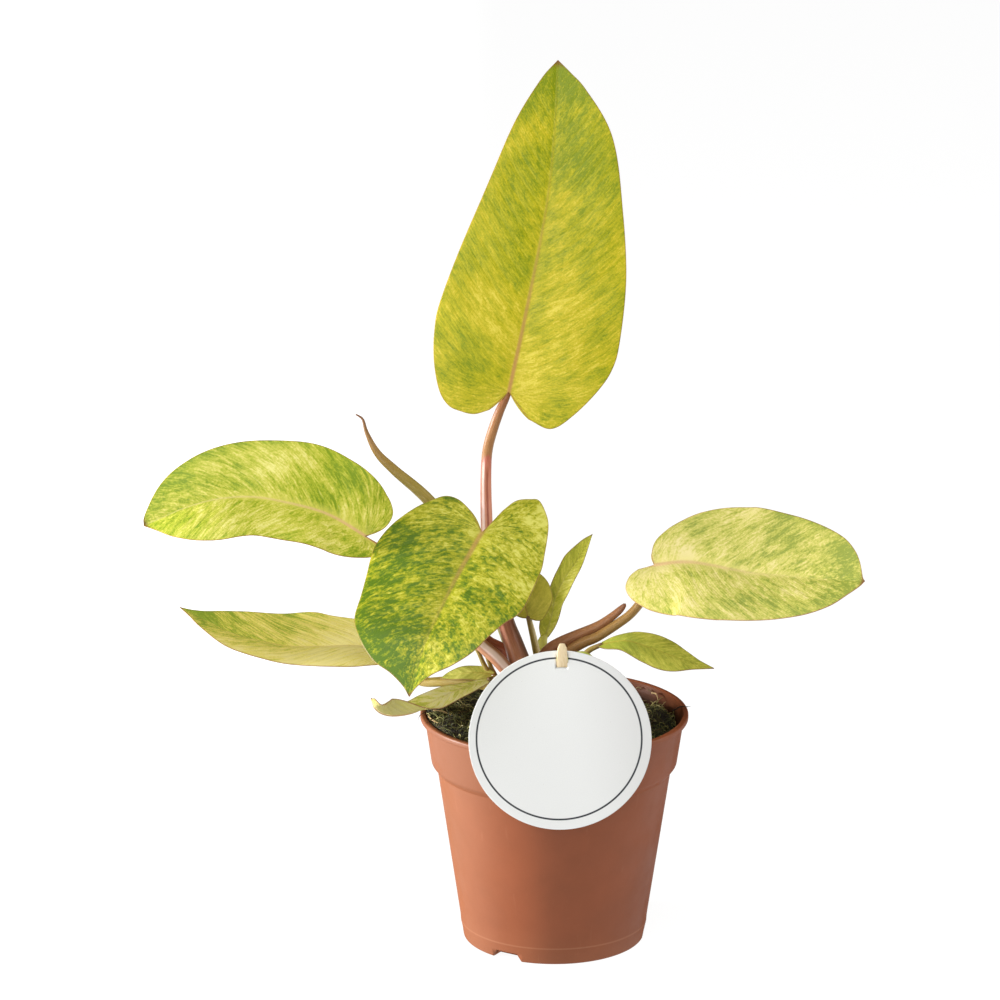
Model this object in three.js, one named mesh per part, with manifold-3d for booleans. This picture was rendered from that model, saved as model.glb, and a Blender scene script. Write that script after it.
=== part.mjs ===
// A young painted lady philodendron in a plastic nursery pot, with a round card held by a wooden stick.
// Millimetres, +Z up. The origin is on the pot's axis, on the surface that the pot stands on. The front,
// where the card leans on the rim, faces -Y, and +X is to the right of it.
import * as THREE from 'three';
import Module from 'manifold-3d';
import { mergeVertices } from 'three/addons/utils/BufferGeometryUtils.js';

const wasm = await Module();
wasm.setup();

// Clearance between neighbouring pieces.
const gap = 0.3;

const pot = {
  height: 105.3,
  rimRadius: 60,
  lipHeight: 3.6,
  lipDepth: 2.4,
  collarRadius: 57.4,
  collarFootRadius: 54.8,
  collarFootHeight: 82,
  bodyRadius: 52.2,
  stepHeight: 77.5,
  footRadius: 40.7,
  wall: 1.3,
  floor: 1.6,
  sides: 44,
};

// Drain recesses at the foot, the first at its bearing from the front, counted towards the right.
const drain = {
  count: 3,
  firstBearing: -31.5,
  topWidth: 10.6,
  footWidth: 16,
  height: 3.8,
  depth: 7,
  wall: 1.2,
  hole: 2,
};

const soil = { level: 98.5, tilt: -0.08, lump: 1.3, rings: 7, sides: 32 };
const stem = { radius: 6.2, bottom: 62, top: 113, nodeEvery: 11, nodeSwell: 0.7, sides: 10 };

const card = { radius: 39.8, thickness: 0.8, centre: [1.8, 111.6], lean: 6, sides: 56 };
const stick = { width: 4.7, depth: 2, bottom: 60, slotHeight: 146, top: 155.2, x: 2.6, lean: 16, point: 7 };

// Blade thickness, the depth of the midrib's keel as a share of the leaf's length, the slant of the side
// veins, which is how far one climbs along the leaf for each millimetre across, their bow, the least distance
// between the ends of the veins that fan into a lobe, and the shares of the length between which a fold
// changes.
const blade = {
  thickness: 0.7,
  keelDepth: 0.011,
  veinSlant: 0.75,
  veinBow: 0.07,
  fanSpacing: 5,
  foldChange: [0.42, 0.8],
};

const colours = {
  terracotta: 0xb5653f,
  peat: 0x2b2016,
  card: 0xf0efec,
  wood: 0xdcc592,
  stemGreen: 0x6f6a34,
  limeMarble: 0xb5bd3c,
  greenMarble: 0x8fa433,
  creamMarble: 0xd3cc72,
  olive: 0x8a8c35,
  furled: 0x7d7538,
  copper: 0xb06a4a,
  pink: 0xc9877a,
  oliveStalk: 0x8d7a40,
};

// Each leaf, with its midrib from the blade's base to the tip, the way that it faces, how far each half is
// folded up (and from its middle on, where that differs) and then curled on, in degrees, and the waves of
// its margin in mm. An outline runs from the back of the lobe to the tip as [across, along] from the base.
// The first of a pair belongs to the half on the right of someone who looks at the face with the tip up.
const leaves = [
  {
    name: 'tall_leaf',
    colour: colours.limeMarble,
    stations: 15,
    columns: [0.06, 0.36, 0.7, 1],
    midrib: [[-20.4, -2, 253], [-12.5, 4, 289.4], [-4.6, 14, 328.8], [-0.7, 24, 360.2], [1.1, 38, 393.1]],
    face: [0.05, -0.97, 0.2],
    fold: [8, 8],
    curl: [-14, -14],
    wave: { height: 0.8, count: 3.5, phase: 0.1 },
    outlines: [
      [[11, -10], [21.5, -12], [30, -4], [38.5, 9.5], [42.5, 20], [43, 32], [40, 59.5], [33, 87.5],
        [25.5, 115.5], [13, 135], [6, 142.5], [0, 148.2]],
      [[7, -9.5], [13, -12.5], [19, -12.5], [25, -11], [30.5, -5], [35.5, 7.5], [38, 21], [38, 33.5],
        [33.5, 60.5], [26.5, 91], [18, 118.5], [7.5, 138.5], [0, 148.2]],
    ],
  },
  {
    name: 'left_leaf',
    colour: colours.creamMarble,
    stations: 12,
    columns: [0.06, 0.36, 0.7, 1],
    midrib: [[-84.2, 4, 185.6], [-99.1, 3, 195.1], [-116.2, 0, 201.5], [-136.7, -3, 205.5],
      [-157.6, -8, 203.7], [-180.9, -14, 195.4]],
    face: [0, -0.62, 0.78],
    fold: [18, 22],
    curl: [-9, -20],
    wave: { height: 0.5, count: 3, phase: 0.3 },
    outlines: [
      [[4.5, -4], [8.5, -6.5], [14, -7], [18, -5], [22, 0.5], [28, 15.5], [30.5, 28], [28.5, 47.5],
        [25, 64], [20.5, 78.5], [14, 91], [4.5, 102], [0, 104.5]],
      [[3, -5.5], [8, -7], [14, -2], [20, 8], [24, 22], [25, 35], [25.5, 50], [27, 65], [26.5, 76],
        [22.5, 87], [15, 95.5], [6, 101], [0, 104.5]],
    ],
  },
  {
    name: 'front_leaf',
    colour: colours.greenMarble,
    stations: 12,
    columns: [0.06, 0.34, 0.66, 1],
    midrib: [[-32.2, -12, 192], [-41.3, -32, 181], [-51.1, -58, 168.4], [-57.7, -76, 157.8],
      [-63.1, -90, 141.2]],
    face: [-0.25, -0.75, 0.6],
    fold: [6, 6],
    curl: [-17, -17],
    wave: { height: 0.4, count: 2.5, phase: 0.6 },
    outlines: [
      [[10, -11], [17.5, -16], [24, -17], [29, -13.5], [35.5, -6.5], [41, 3.5], [43.5, 18],
        [40.5, 35.5], [38, 50], [36, 62.5], [32.5, 70.5], [26, 79.5], [19, 86], [11, 90], [4, 95],
        [0, 99.5]],
      [[4, -15.5], [7.5, -22.5], [13.5, -25], [17.5, -25], [23.5, -18], [27.5, -10.5], [31.5, 3.5],
        [34.5, 16], [35.5, 33], [35, 47], [30.5, 56], [27.5, 63.5], [23, 74.5], [16, 82.5], [7.5, 88.5],
        [2, 95], [0, 99.5]],
    ],
  },
  {
    name: 'right_leaf',
    colour: colours.creamMarble,
    stations: 12,
    columns: [0.06, 0.36, 0.7, 1],
    midrib: [[43.9, -4, 174.6], [60.5, -8, 176.9], [79.1, -16, 175.8], [97.7, -22, 174.8],
      [134.9, -34, 176.1]],
    face: [0, -0.62, 0.78],
    fold: [10, 12],
    curl: [-14, -14],
    wave: { height: 0.4, count: 3, phase: 0.8 },
    outlines: [
      [[2, -7], [6.5, -10.5], [13, -11.5], [19, -8.5], [23, -2.5], [27, 4.5], [31.5, 27.5], [29.5, 37],
        [27, 51], [24.5, 62.5], [21, 74.5], [15.5, 84], [8.5, 90.5], [3.5, 94.5], [0, 96.2]],
      [[5, -1.5], [11.5, 0], [16.5, 5.5], [21, 11.5], [29.5, 21.5], [33, 31], [33.5, 45], [31.5, 59.5],
        [27, 72.5], [21.5, 83], [15.5, 89], [9.5, 92.5], [2, 95], [0, 96.2]],
    ],
  },
  {
    name: 'low_left_leaf',
    colour: colours.creamMarble,
    stations: 11,
    columns: [0.06, 0.36, 0.7, 1],
    midrib: [[-74.6, 16, 128.9], [-89.9, 16, 130.7], [-105.1, 15, 130.6], [-121.7, 14, 131.4],
      [-140.8, 12, 136.7], [-156.2, 10, 144.3], [-167.4, 8, 151.5]],
    face: [0, -0.3, 0.95],
    fold: [10, 12],
    curl: [-12, -15],
    wave: { height: 0.5, count: 3, phase: 0.2 },
    outlines: [
      [[4, -6], [9, -8], [14, -3], [17, 8], [21.5, 22], [24.5, 33], [23.5, 48], [18, 64.5], [12.5, 76],
        [6.5, 85], [2, 93], [0, 98]],
      [[4, -6], [9, -7], [13, -2], [16, 6], [19, 17.5], [18.5, 30.5], [16.5, 43], [16, 54.5],
        [15.5, 65], [13.5, 76], [8, 87.5], [3.5, 93], [0, 98]],
    ],
  },
  {
    name: 'low_right_leaf',
    colour: colours.olive,
    stations: 8,
    columns: [0.5, 1],
    midrib: [[19.7, -6, 138.1], [31.1, -10, 141.2], [42.1, -14, 139.2], [53, -18, 136.3],
      [61.8, -21, 134.5], [70.2, -23, 132.6]],
    face: [0.1, -0.45, 0.9],
    fold: [8, 8],
    curl: [-10, -10],
    wave: { height: 0.4, count: 2.5, phase: 0 },
    outlines: [
      [[2, 0.5], [4.5, 4.5], [6.5, 11], [9, 19], [11, 25.5], [11.5, 32], [9, 40], [4.5, 47], [0, 54.8]],
      [[1.5, 1.5], [3, 5.5], [4.5, 11], [7, 16.5], [8.5, 24], [8, 33], [5, 40.5], [2.2, 47], [0, 54.8]],
    ],
  },
  {
    name: 'rim_leaf',
    colour: colours.creamMarble,
    stations: 11,
    columns: [0.5, 1],
    midrib: [[-28.9, -16, 125.2], [-44.2, -25, 122.6], [-55.1, -34, 119.9], [-61.8, -39, 117.6],
      [-69.4, -43, 117.3], [-76.7, -46.5, 119.6], [-81.2, -48.8, 122.8], [-80.6, -49, 128]],
    face: [0, -0.45, 0.9],
    fold: [8, 4],
    foldPastMiddle: [20, 100],
    curl: [-8, 8],
    wave: { height: 0.3, count: 2, phase: 0 },
    outlines: [
      [[1.5, 0.5], [3, 12.5], [5.5, 22], [6.5, 33], [6, 45], [4, 56], [1.5, 64], [0, 68]],
      [[2, 1.5], [4.5, 11], [6, 22], [6.5, 30], [7.5, 39], [8.5, 48], [8.5, 56], [7, 61], [3, 66],
        [0, 68]],
    ],
  },
  {
    name: 'under_leaf',
    colour: colours.olive,
    stations: 5,
    columns: [0.5, 1],
    midrib: [[-27, -4, 123.5], [-33.2, -2, 123.8], [-41.3, 0, 122.8], [-51.1, 2, 119.8]],
    face: [0, -0.45, 0.9],
    fold: [8, 8],
    curl: [-8, -8],
    wave: { height: 0.2, count: 2, phase: 0 },
    outlines: [
      [[1.5, 0], [4, 6], [4.4, 14], [2.8, 21], [0, 25.2]],
      [[1.5, 0], [4.5, 5.5], [4.5, 13], [2.5, 20], [0, 25.2]],
    ],
  },
  {
    name: 'round_leaf',
    colour: colours.olive,
    stations: 6,
    columns: [0.5, 1],
    midrib: [[-11.8, 8, 146.4], [-14, 10, 155.5], [-16.7, 13, 164], [-18.9, 17, 170.7]],
    face: [0.1, -0.95, 0.3],
    fold: [8, 8],
    curl: [-8, -8],
    wave: { height: 0.3, count: 2, phase: 0 },
    outlines: [
      [[2.5, -1.5], [5.5, -2.5], [9, 0.5], [12.5, 5.5], [13, 9.5], [12.5, 13], [10.5, 17], [5, 24],
        [0, 27.1]],
      [[1.5, 0.5], [3.5, 1], [6.5, 3.5], [9, 7], [10.5, 10.5], [10.5, 14], [9, 18], [4.5, 24], [0, 27.1]],
    ],
  },
  {
    name: 'spear_leaf',
    colour: colours.olive,
    stations: 9,
    columns: [0.5, 1],
    midrib: [[-4.1, 15, 134.8], [-1.3, 16, 144.5], [0.3, 17, 152.5], [3.9, 18, 160.6],
      [10.6, 20, 170.3], [17.2, 22, 181.5]],
    face: [0.1, -0.95, 0.3],
    fold: [25, 25],
    curl: [0, 0],
    wave: { height: 0.2, count: 2, phase: 0 },
    outlines: [
      [[1.5, 1], [3.2, 7], [4.2, 16.5], [5, 24.5], [3.8, 35.5], [2.2, 43], [0, 52.4]],
      [[2.5, 0.5], [4.8, 5], [5.2, 12], [4.5, 20], [5.5, 30], [6.5, 38], [3.5, 47], [0, 52.4]],
    ],
  },
  {
    name: 'card_side_leaf',
    colour: colours.olive,
    stations: 5,
    columns: [0.5, 1],
    midrib: [[0.5, -14, 130.8], [7, -20, 135.6], [13, -26, 138], [18.5, -31, 137.4], [23.1, -35, 135.2],
      [27.3, -38, 131.3]],
    face: [0.2, -0.3, 0.93],
    fold: [6, 6],
    curl: [-12, -12],
    wave: { height: 0.2, count: 2, phase: 0 },
    outlines: [
      [[1.5, -0.5], [5, 4], [7, 11], [7, 20], [4.5, 30], [0, 39]],
      [[1.5, -0.5], [5, 4], [7, 11], [7, 20], [4.5, 30], [0, 39]],
    ],
  },
  {
    name: 'hidden_leaf',
    colour: colours.olive,
    stations: 6,
    columns: [0.5, 1],
    midrib: [[-40, 8, 141], [-46, 11, 152], [-51, 14, 163], [-55, 19, 174]],
    face: [0.1, -0.9, 0.4],
    fold: [8, 8],
    curl: [-8, -8],
    wave: { height: 0.3, count: 2, phase: 0 },
    outlines: [
      [[2, -2], [5, -3], [8.5, 1], [10.5, 8], [10, 17], [6, 28], [2.5, 33], [0, 36.7]],
      [[2, -2], [5, -3], [8.5, 1], [10.5, 8], [10, 17], [6, 28], [2.5, 33], [0, 36.7]],
    ],
  },
];

// Each stalk as [x, y, z, radius] from the stem or the soil up to its blade. A groove faces the way given,
// and a sheath is a second tube grown onto the stalk's foot. Stalks that crowd each other at the stem are in
// the order in which they give way: one that stands later is hollowed to clasp those before it.
const stalks = [
  {
    name: 'tall_leaf_stalk',
    colour: colours.copper,
    groove: [-0.2, -1, 0.1],
    sides: 10,
    steps: 22,
    route: [[-3, -0.5, 97, 4.5], [-10, -1.5, 114, 4.4], [-15.2, -2, 126.8, 4.3], [-18.9, 0, 138.2, 4.1],
      [-21.6, 2, 146.3, 3.8], [-27, 5, 165, 3.2], [-29.6, 6, 181.2, 2.8], [-30.4, 5, 198.7, 2.6],
      [-30.5, 3, 213.6, 2.4], [-29.9, 1, 225.3, 2.3], [-27.6, -0.5, 235, 2.2],
      [-24.4, -1.6, 244.4, 2.1], [-19.7, -1.6, 254.2, 1.7]],
  },
  {
    name: 'rolled_leaf',
    colour: colours.furled,
    groove: [0.4, -1, 0.6],
    sides: 9,
    steps: 24,
    route: [[-7, 4.5, 98, 2.6], [-17, 11, 123, 2.7], [-25.5, 16.5, 146, 2.8], [-39, 18, 176, 2.9],
      [-55.9, 15, 199, 2.9], [-70.9, 13.2, 213.3, 2.4], [-78.6, 12.6, 221.5, 1.8],
      [-83.2, 13, 230.5, 1], [-85, 13.5, 236.6, 0.6], [-88, 14, 238.7, 0.35]],
  },
  {
    name: 'spear_leaf_stalk',
    colour: colours.oliveStalk,
    sides: 8,
    steps: 8,
    route: [[2, 6.5, 97, 2.2], [-2, 10.5, 116, 2.4], [-5.3, 13, 128, 2.4], [-5.4, 14, 133, 2.1],
      [-4.2, 15, 136, 1.4]],
  },
  {
    name: 'right_leaf_stalk',
    colour: colours.copper,
    groove: [-0.3, -0.2, 1],
    sides: 10,
    steps: 16,
    route: [[2.5, 1.5, 97, 3], [0.7, 1, 121.9, 2.9], [2.1, 0.5, 127.5, 2.8], [5, 0, 132.1, 2.7],
      [8.7, -0.5, 135.3, 2.6], [13.4, -1, 138, 2.4], [19.1, -1.5, 140.6, 2.2], [28.5, -2, 147.1, 2.1],
      [33.5, -2.5, 151.2, 2], [37.8, -3, 156.7, 2], [42.2, -4, 165.3, 2], [45, -5, 174.3, 1.5]],
    sheath: [[0, 3, 99, 2.8], [-4.6, 4, 114, 2.9], [-6.1, 4, 123.9, 2.9], [-4.9, 3.5, 129.5, 2.9],
      [-1.6, 3, 133.7, 2.8], [3.1, 2.5, 136.8, 2.7], [8.8, 2, 139.7, 2.5], [19.1, 1, 144.7, 2.1],
      [25.2, 0.5, 149.1, 1.4], [30.2, 0, 153.9, 0.4]],
  },
  {
    name: 'front_leaf_stalk',
    colour: colours.copper,
    groove: [0.3, -0.6, 1],
    sides: 10,
    steps: 16,
    route: [[-5, 3, 96, 3], [-10, 3, 113, 3], [-16.3, 3, 126.2, 3], [-20.1, 4, 130.4, 2.9],
      [-24.4, 5, 133.3, 2.7], [-29.6, 5, 136.3, 2.5], [-34.1, 5, 141.7, 2.4], [-37.7, 3, 151.6, 2.3],
      [-38.3, 0, 164.1, 2.2], [-36.2, -5, 179.5, 2], [-32.5, -11.5, 191.8, 1.6]],
  },
  {
    name: 'left_leaf_stalk',
    colour: colours.pink,
    groove: [0.3, -0.6, 1],
    sides: 10,
    steps: 18,
    route: [[-5, -5, 95, 3.1], [-11.5, -5.8, 110, 3.2], [-17.8, -6, 121.6, 3.2], [-22, -6, 127.6, 3.2],
      [-26.3, -5, 132.2, 3.2], [-31.5, -3, 136.3, 3], [-44.3, 1.5, 147.3, 2.5], [-55.5, 5, 160.3, 2.3],
      [-71, 6, 175.8, 1.9], [-85, 3.8, 185.9, 1.4]],
  },
  {
    name: 'low_left_leaf_stalk',
    colour: colours.oliveStalk,
    groove: [0.2, -0.3, 1],
    sides: 8,
    steps: 14,
    route: [[-5.5, -2, 88, 2.9], [-11, -3.5, 104, 2.9], [-21, -4, 115, 2.7], [-36, 0, 118.8, 2.5],
      [-49, 6, 117.2, 2.3], [-60, 12, 115.5, 2.1], [-69, 16, 121, 1.9], [-75.2, 16, 129, 1.4]],
  },
  {
    name: 'round_leaf_stalk',
    colour: colours.oliveStalk,
    sides: 7,
    steps: 8,
    route: [[-2.5, 8.5, 94, 1.6], [-6.8, 8, 123.6, 1.4], [-8.3, 8, 130.1, 1.3], [-10.2, 8, 138.6, 1],
      [-11.9, 8, 146.8, 0.9]],
    sheath: [[-3, 8, 96, 1.2], [-6.6, 8.5, 126, 1.2], [-7.9, 8.5, 132.6, 1.1], [-9.3, 8.5, 139.6, 0.9],
      [-10.5, 8.5, 145.6, 0.4]],
  },
  {
    name: 'low_right_leaf_stalk',
    colour: colours.oliveStalk,
    sides: 7,
    steps: 9,
    route: [[4, -4, 94, 1.9], [7, -4.5, 116, 1.8], [9.8, -4.5, 126.5, 1.6], [14.5, -5.2, 134.6, 1.3],
      [20.8, -6.2, 138.4, 1]],
  },
  {
    name: 'rim_leaf_stalk',
    colour: colours.oliveStalk,
    sides: 7,
    steps: 8,
    route: [[-5, -8, 92, 2], [-10, -11.5, 108, 1.9], [-18, -14, 119.5, 1.7], [-29.4, -16.3, 125.6, 1]],
  },
  {
    name: 'under_leaf_stalk',
    colour: colours.oliveStalk,
    sides: 6,
    steps: 7,
    route: [[-10, -9, 93, 1.3], [-15, -9.5, 112, 1.2], [-20.5, -7.5, 120, 1], [-27.7, -3.9, 123.5, 0.8]],
  },
  {
    name: 'card_side_leaf_stalk',
    colour: colours.oliveStalk,
    sides: 6,
    steps: 6,
    route: [[3, -9, 93, 1.5], [1, -10.5, 112, 1.3], [0.7, -13.5, 131, 0.9]],
  },
  {
    name: 'hidden_leaf_stalk',
    colour: colours.oliveStalk,
    sides: 6,
    steps: 9,
    route: [[-12, 1, 93, 1.4], [-20, -1, 108, 1.3], [-28.7, -1, 122.5, 1.2], [-31.5, 0, 127.2, 1.1],
      [-34.1, 1, 132.8, 0.9], [-40.3, 8, 141.8, 0.8]],
    sheath: [[-12.5, 2, 96, 1.1], [-20, 0.5, 110.5, 1.1], [-26.8, 1, 122.4, 1.1],
      [-29.2, 2.5, 127.4, 0.9], [-31.1, 4, 132.9, 0.7], [-33, 7, 141, 0.3]],
  },
];

const degrees = THREE.MathUtils.degToRad;

function vector(point) {
  return new THREE.Vector3(point[0], point[1], point[2] ?? 0);
}

function smoothCurve(points) {
  return new THREE.CatmullRomCurve3(points.map(vector), false, 'catmullrom', 0.5);
}

// A geometry of its own from vertices and triangles given by index.
function meshOf(vertices, triangles) {
  const geometry = new THREE.BufferGeometry();
  const positions = vertices.flatMap((vertex) => vertex.toArray());
  geometry.setAttribute('position', new THREE.Float32BufferAttribute(positions, 3));
  geometry.setIndex(triangles.flat());
  return geometry;
}

function solidOf(geometry) {
  const bare = geometry.clone();
  bare.deleteAttribute('normal');
  bare.deleteAttribute('uv');
  const merged = mergeVertices(bare, 1e-4);
  const mesh = new wasm.Mesh({
    numProp: 3,
    vertProperties: new Float32Array(merged.attributes.position.array),
    triVerts: new Uint32Array(merged.index.array),
  });
  return new wasm.Manifold(mesh);
}

function geometryOf(solid) {
  const mesh = solid.getMesh();
  const geometry = new THREE.BufferGeometry();
  geometry.setAttribute('position', new THREE.BufferAttribute(Float32Array.from(mesh.vertProperties), 3));
  geometry.setIndex(Array.from(mesh.triVerts));
  return geometry;
}

// What is left in one piece after the others are cut away: the largest body.
function cutBy(solid, others) {
  let left = solid;
  for (const other of others) {
    left = left.subtract(other);
  }
  const bodies = left.decompose();
  bodies.sort((a, b) => b.volume() - a.volume());
  return bodies[0];
}

// A tube round a curve of [x, y, z, radius] points, with a groove along the side that faces `groove`.
function taperedTube({ route, sides, steps, groove, grow = 0 }) {
  const curve = smoothCurve(route);
  const radii = smoothCurve(route.map((point) => [point[3], 0, 0]));
  const up = vector(groove ?? [0, -0.5, 1]);
  const vertices = [];
  const triangles = [];
  for (let step = 0; step <= steps; step += 1) {
    const share = step / steps;
    const at = curve.getUtoTmapping(share);
    const centre = curve.getPoint(at);
    const along = curve.getTangent(at);
    if (step === 0) centre.addScaledVector(along, -grow);
    if (step === steps) centre.addScaledVector(along, grow);
    const radius = radii.getPoint(at).x + grow;
    const first = up.clone().addScaledVector(along, -up.dot(along)).normalize();
    const second = new THREE.Vector3().crossVectors(along, first);
    for (let side = 0; side < sides; side += 1) {
      const turn = (2 * Math.PI * side) / sides;
      const pinch = groove && side === 0 ? 0.72 : 1;
      vertices.push(centre.clone()
        .addScaledVector(first, Math.cos(turn) * radius * pinch)
        .addScaledVector(second, Math.sin(turn) * radius));
    }
  }
  for (let step = 0; step < steps; step += 1) {
    for (let side = 0; side < sides; side += 1) {
      const a = step * sides + side;
      const b = step * sides + ((side + 1) % sides);
      triangles.push([a, b, b + sides], [a, b + sides, a + sides]);
    }
  }
  const last = steps * sides;
  for (let side = 1; side < sides - 1; side += 1) {
    triangles.push([0, side + 1, side], [last, last + side, last + side + 1]);
  }
  return meshOf(vertices, triangles);
}

function stalkSolid(stalk, grow = 0) {
  const tube = solidOf(taperedTube({ ...stalk, grow }));
  if (!stalk.sheath) return tube;
  const sheath = { route: stalk.sheath, sides: stalk.sides, steps: Math.ceil(stalk.steps * 0.6), grow };
  return tube.add(solidOf(taperedTube(sheath)));
}

// The surface of one leaf: `place` gives the point that lies `across` and `along` on one half.
function leafSurface(leaf) {
  const midrib = smoothCurve(leaf.midrib);
  const length = midrib.getLength();
  const outlines = leaf.outlines.map((outline) => smoothCurve(outline));
  const widest = Math.max(...leaf.outlines.flat().map((point) => point[0]));
  const face = vector(leaf.face);

  function place(half, across, along) {
    const share = THREE.MathUtils.clamp(along / length, 0, 1);
    const centre = midrib.getPointAt(share);
    const ahead = midrib.getTangentAt(share);
    centre.addScaledVector(ahead, Math.min(along, 0));
    const up = face.clone().addScaledVector(ahead, -face.dot(ahead)).normalize();
    const right = new THREE.Vector3().crossVectors(ahead, up);
    const foldEnds = [leaf.fold[half], (leaf.foldPastMiddle ?? leaf.fold)[half]];
    const change = THREE.MathUtils.smoothstep(share, ...blade.foldChange);
    const fold = degrees(THREE.MathUtils.lerp(...foldEnds, change));
    const bend = degrees(leaf.curl[half]) / widest;
    const margin = fold + bend * across;
    const straight = Math.abs(bend) < 1e-9;
    const out = straight ? across * Math.cos(fold) : (Math.sin(margin) - Math.sin(fold)) / bend;
    const rise = straight ? across * Math.sin(fold) : (Math.cos(fold) - Math.cos(margin)) / bend;
    const turn = 2 * Math.PI * ((leaf.wave.count * along) / length + leaf.wave.phase) + half;
    const ripple = leaf.wave.height * (across / widest) ** 2 * Math.sin(turn);
    return centre
      .addScaledVector(right, half === 0 ? out : -out)
      .addScaledVector(up, rise + ripple);
  }
  return { length, outlines, place };
}

// The blade's middle surface as a net that follows its veins. The veins of a lobe fan out from the base, and
// the others leave the midrib at even stations. Both halves share the midrib's points.
function bladeNet(leaf) {
  const { length, outlines, place } = leafSurface(leaf);
  const vertices = [];
  const triangles = [];
  const spine = [];
  const add = (half, across, along) => vertices.push(place(half, across, along)) - 1;
  for (let station = 0; station <= leaf.stations; station += 1) {
    spine.push(add(0, 0, (length * station) / leaf.stations));
  }
  const samples = 240;
  outlines.forEach((outline, half) => {
    const margin = outline.getSpacedPoints(samples);
    const origin = margin.map((point) => point.y - blade.veinSlant * point.x);
    const lobeEnd = origin.findIndex((start) => start > 0);
    const lobeLength = outline.getLength() * (lobeEnd / samples);
    const fans = 1 + Math.max(2, Math.round(lobeLength / Math.max(blade.fanSpacing, length / 14)));
    const rows = [];
    for (let fan = 0; fan < fans; fan += 1) {
      rows.push({ root: 0, end: margin[Math.round((lobeEnd * fan) / (fans - 1))], start: 0 });
    }
    for (let station = 1; station < leaf.stations; station += 1) {
      const start = (length * station) / leaf.stations;
      rows.push({ root: station, end: margin[origin.findIndex((value) => value >= start)], start });
    }
    for (const row of rows) {
      row.points = leaf.columns.map((share) => {
        const bow = 4 * share * (1 - share) * blade.veinBow * row.end.x;
        return add(half, row.end.x * share, row.start + (row.end.y - row.start) * share - bow);
      });
    }
    const face = (a, b, c) => triangles.push(half === 0 ? [a, b, c] : [a, c, b]);
    for (let index = 0; index < rows.length - 1; index += 1) {
      const low = rows[index];
      const high = rows[index + 1];
      face(spine[low.root], low.points[0], high.points[0]);
      if (low.root !== high.root) face(spine[low.root], high.points[0], spine[high.root]);
      for (let column = 0; column < leaf.columns.length - 1; column += 1) {
        face(low.points[column], low.points[column + 1], high.points[column + 1]);
        face(low.points[column], high.points[column + 1], high.points[column]);
      }
    }
    const tip = spine[leaf.stations];
    const end = rows[rows.length - 1];
    face(spine[end.root], end.points[0], tip);
    for (let column = 0; column < leaf.columns.length - 1; column += 1) {
      face(end.points[column], end.points[column + 1], tip);
    }
  });
  return { vertices, triangles, spine, length };
}

// The net thickened to a closed blade: the same triangles above and below, a keel under the midrib, and a
// narrow wall round the margin.
function bladeGeometry(leaf) {
  const { vertices, triangles, spine, length } = bladeNet(leaf);
  const net = meshOf(vertices, triangles);
  net.computeVertexNormals();
  const count = vertices.length;
  const normals = net.attributes.normal;
  const raised = (index, height) => {
    const normal = new THREE.Vector3().fromBufferAttribute(normals, index);
    return vertices[index].clone().addScaledVector(normal, height);
  };
  const top = vertices.map((_, index) => raised(index, blade.thickness / 2));
  const under = vertices.map((_, index) => {
    const station = spine.indexOf(index);
    const keel = station < 0 ? 0 : blade.keelDepth * length * (1 - station / leaf.stations);
    return raised(index, -blade.thickness / 2 - keel);
  });
  const faces = triangles.concat(triangles.map(([a, b, c]) => [a + count, c + count, b + count]));
  const edges = new Set(triangles.flatMap(([a, b, c]) => [`${a} ${b}`, `${b} ${c}`, `${c} ${a}`]));
  for (const edge of edges) {
    const [a, b] = edge.split(' ').map(Number);
    if (!edges.has(`${b} ${a}`)) {
      faces.push([b, a, a + count], [b, a + count, b + count]);
    }
  }
  return meshOf(top.concat(under), faces);
}

function potOutline() {
  const lipFoot = pot.height - pot.lipHeight;
  return [
    [pot.footRadius - 0.8, 0],
    [pot.footRadius, 0.8],
    [pot.bodyRadius, pot.stepHeight],
    [pot.bodyRadius + 0.7, pot.stepHeight + 2.2],
    [pot.collarFootRadius - 0.6, pot.collarFootHeight - 1.2],
    [pot.collarFootRadius, pot.collarFootHeight],
    [pot.collarRadius, lipFoot],
    [pot.rimRadius - 0.6, lipFoot + 0.3],
    [pot.rimRadius, lipFoot + 1.1],
    [pot.rimRadius, pot.height - 1],
    [pot.rimRadius - 0.8, pot.height],
  ];
}

function potInside() {
  const top = pot.rimRadius - pot.lipDepth;
  return [
    [top, pot.height],
    [top - 0.9, pot.height - 1.2],
    [pot.collarRadius - pot.wall, pot.height - pot.lipHeight - 1],
    [pot.collarFootRadius - pot.wall, pot.collarFootHeight - 0.5],
    [pot.bodyRadius - pot.wall, pot.stepHeight],
    [pot.footRadius - pot.wall + 0.2, pot.floor],
  ];
}

function lathe(profile, sides) {
  const geometry = new THREE.LatheGeometry(profile.map(([r, z]) => new THREE.Vector2(r, z)), sides);
  geometry.rotateX(Math.PI / 2);
  return geometry;
}

// A block of a drain recess, wider at its foot, whose outer end stands at the pot's foot. `grow` thickens it
// into the pocket that walls the recess off from the soil.
function drainBlock(bearing, grow, reach) {
  const half = drain.topWidth / 2 + grow;
  const foot = drain.footWidth / 2 + grow;
  const shape = new THREE.Shape([
    new THREE.Vector2(-foot, grow > 0 ? 0 : -1),
    new THREE.Vector2(foot, grow > 0 ? 0 : -1),
    new THREE.Vector2(half, drain.height + grow),
    new THREE.Vector2(-half, drain.height + grow),
  ]);
  const depth = drain.depth + grow + reach;
  const geometry = new THREE.ExtrudeGeometry(shape, { depth, bevelEnabled: false, steps: 1 });
  geometry.rotateX(Math.PI / 2);
  geometry.translate(0, -(pot.footRadius - drain.depth - grow), 0);
  geometry.rotateZ(degrees(bearing));
  return solidOf(geometry);
}

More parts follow.
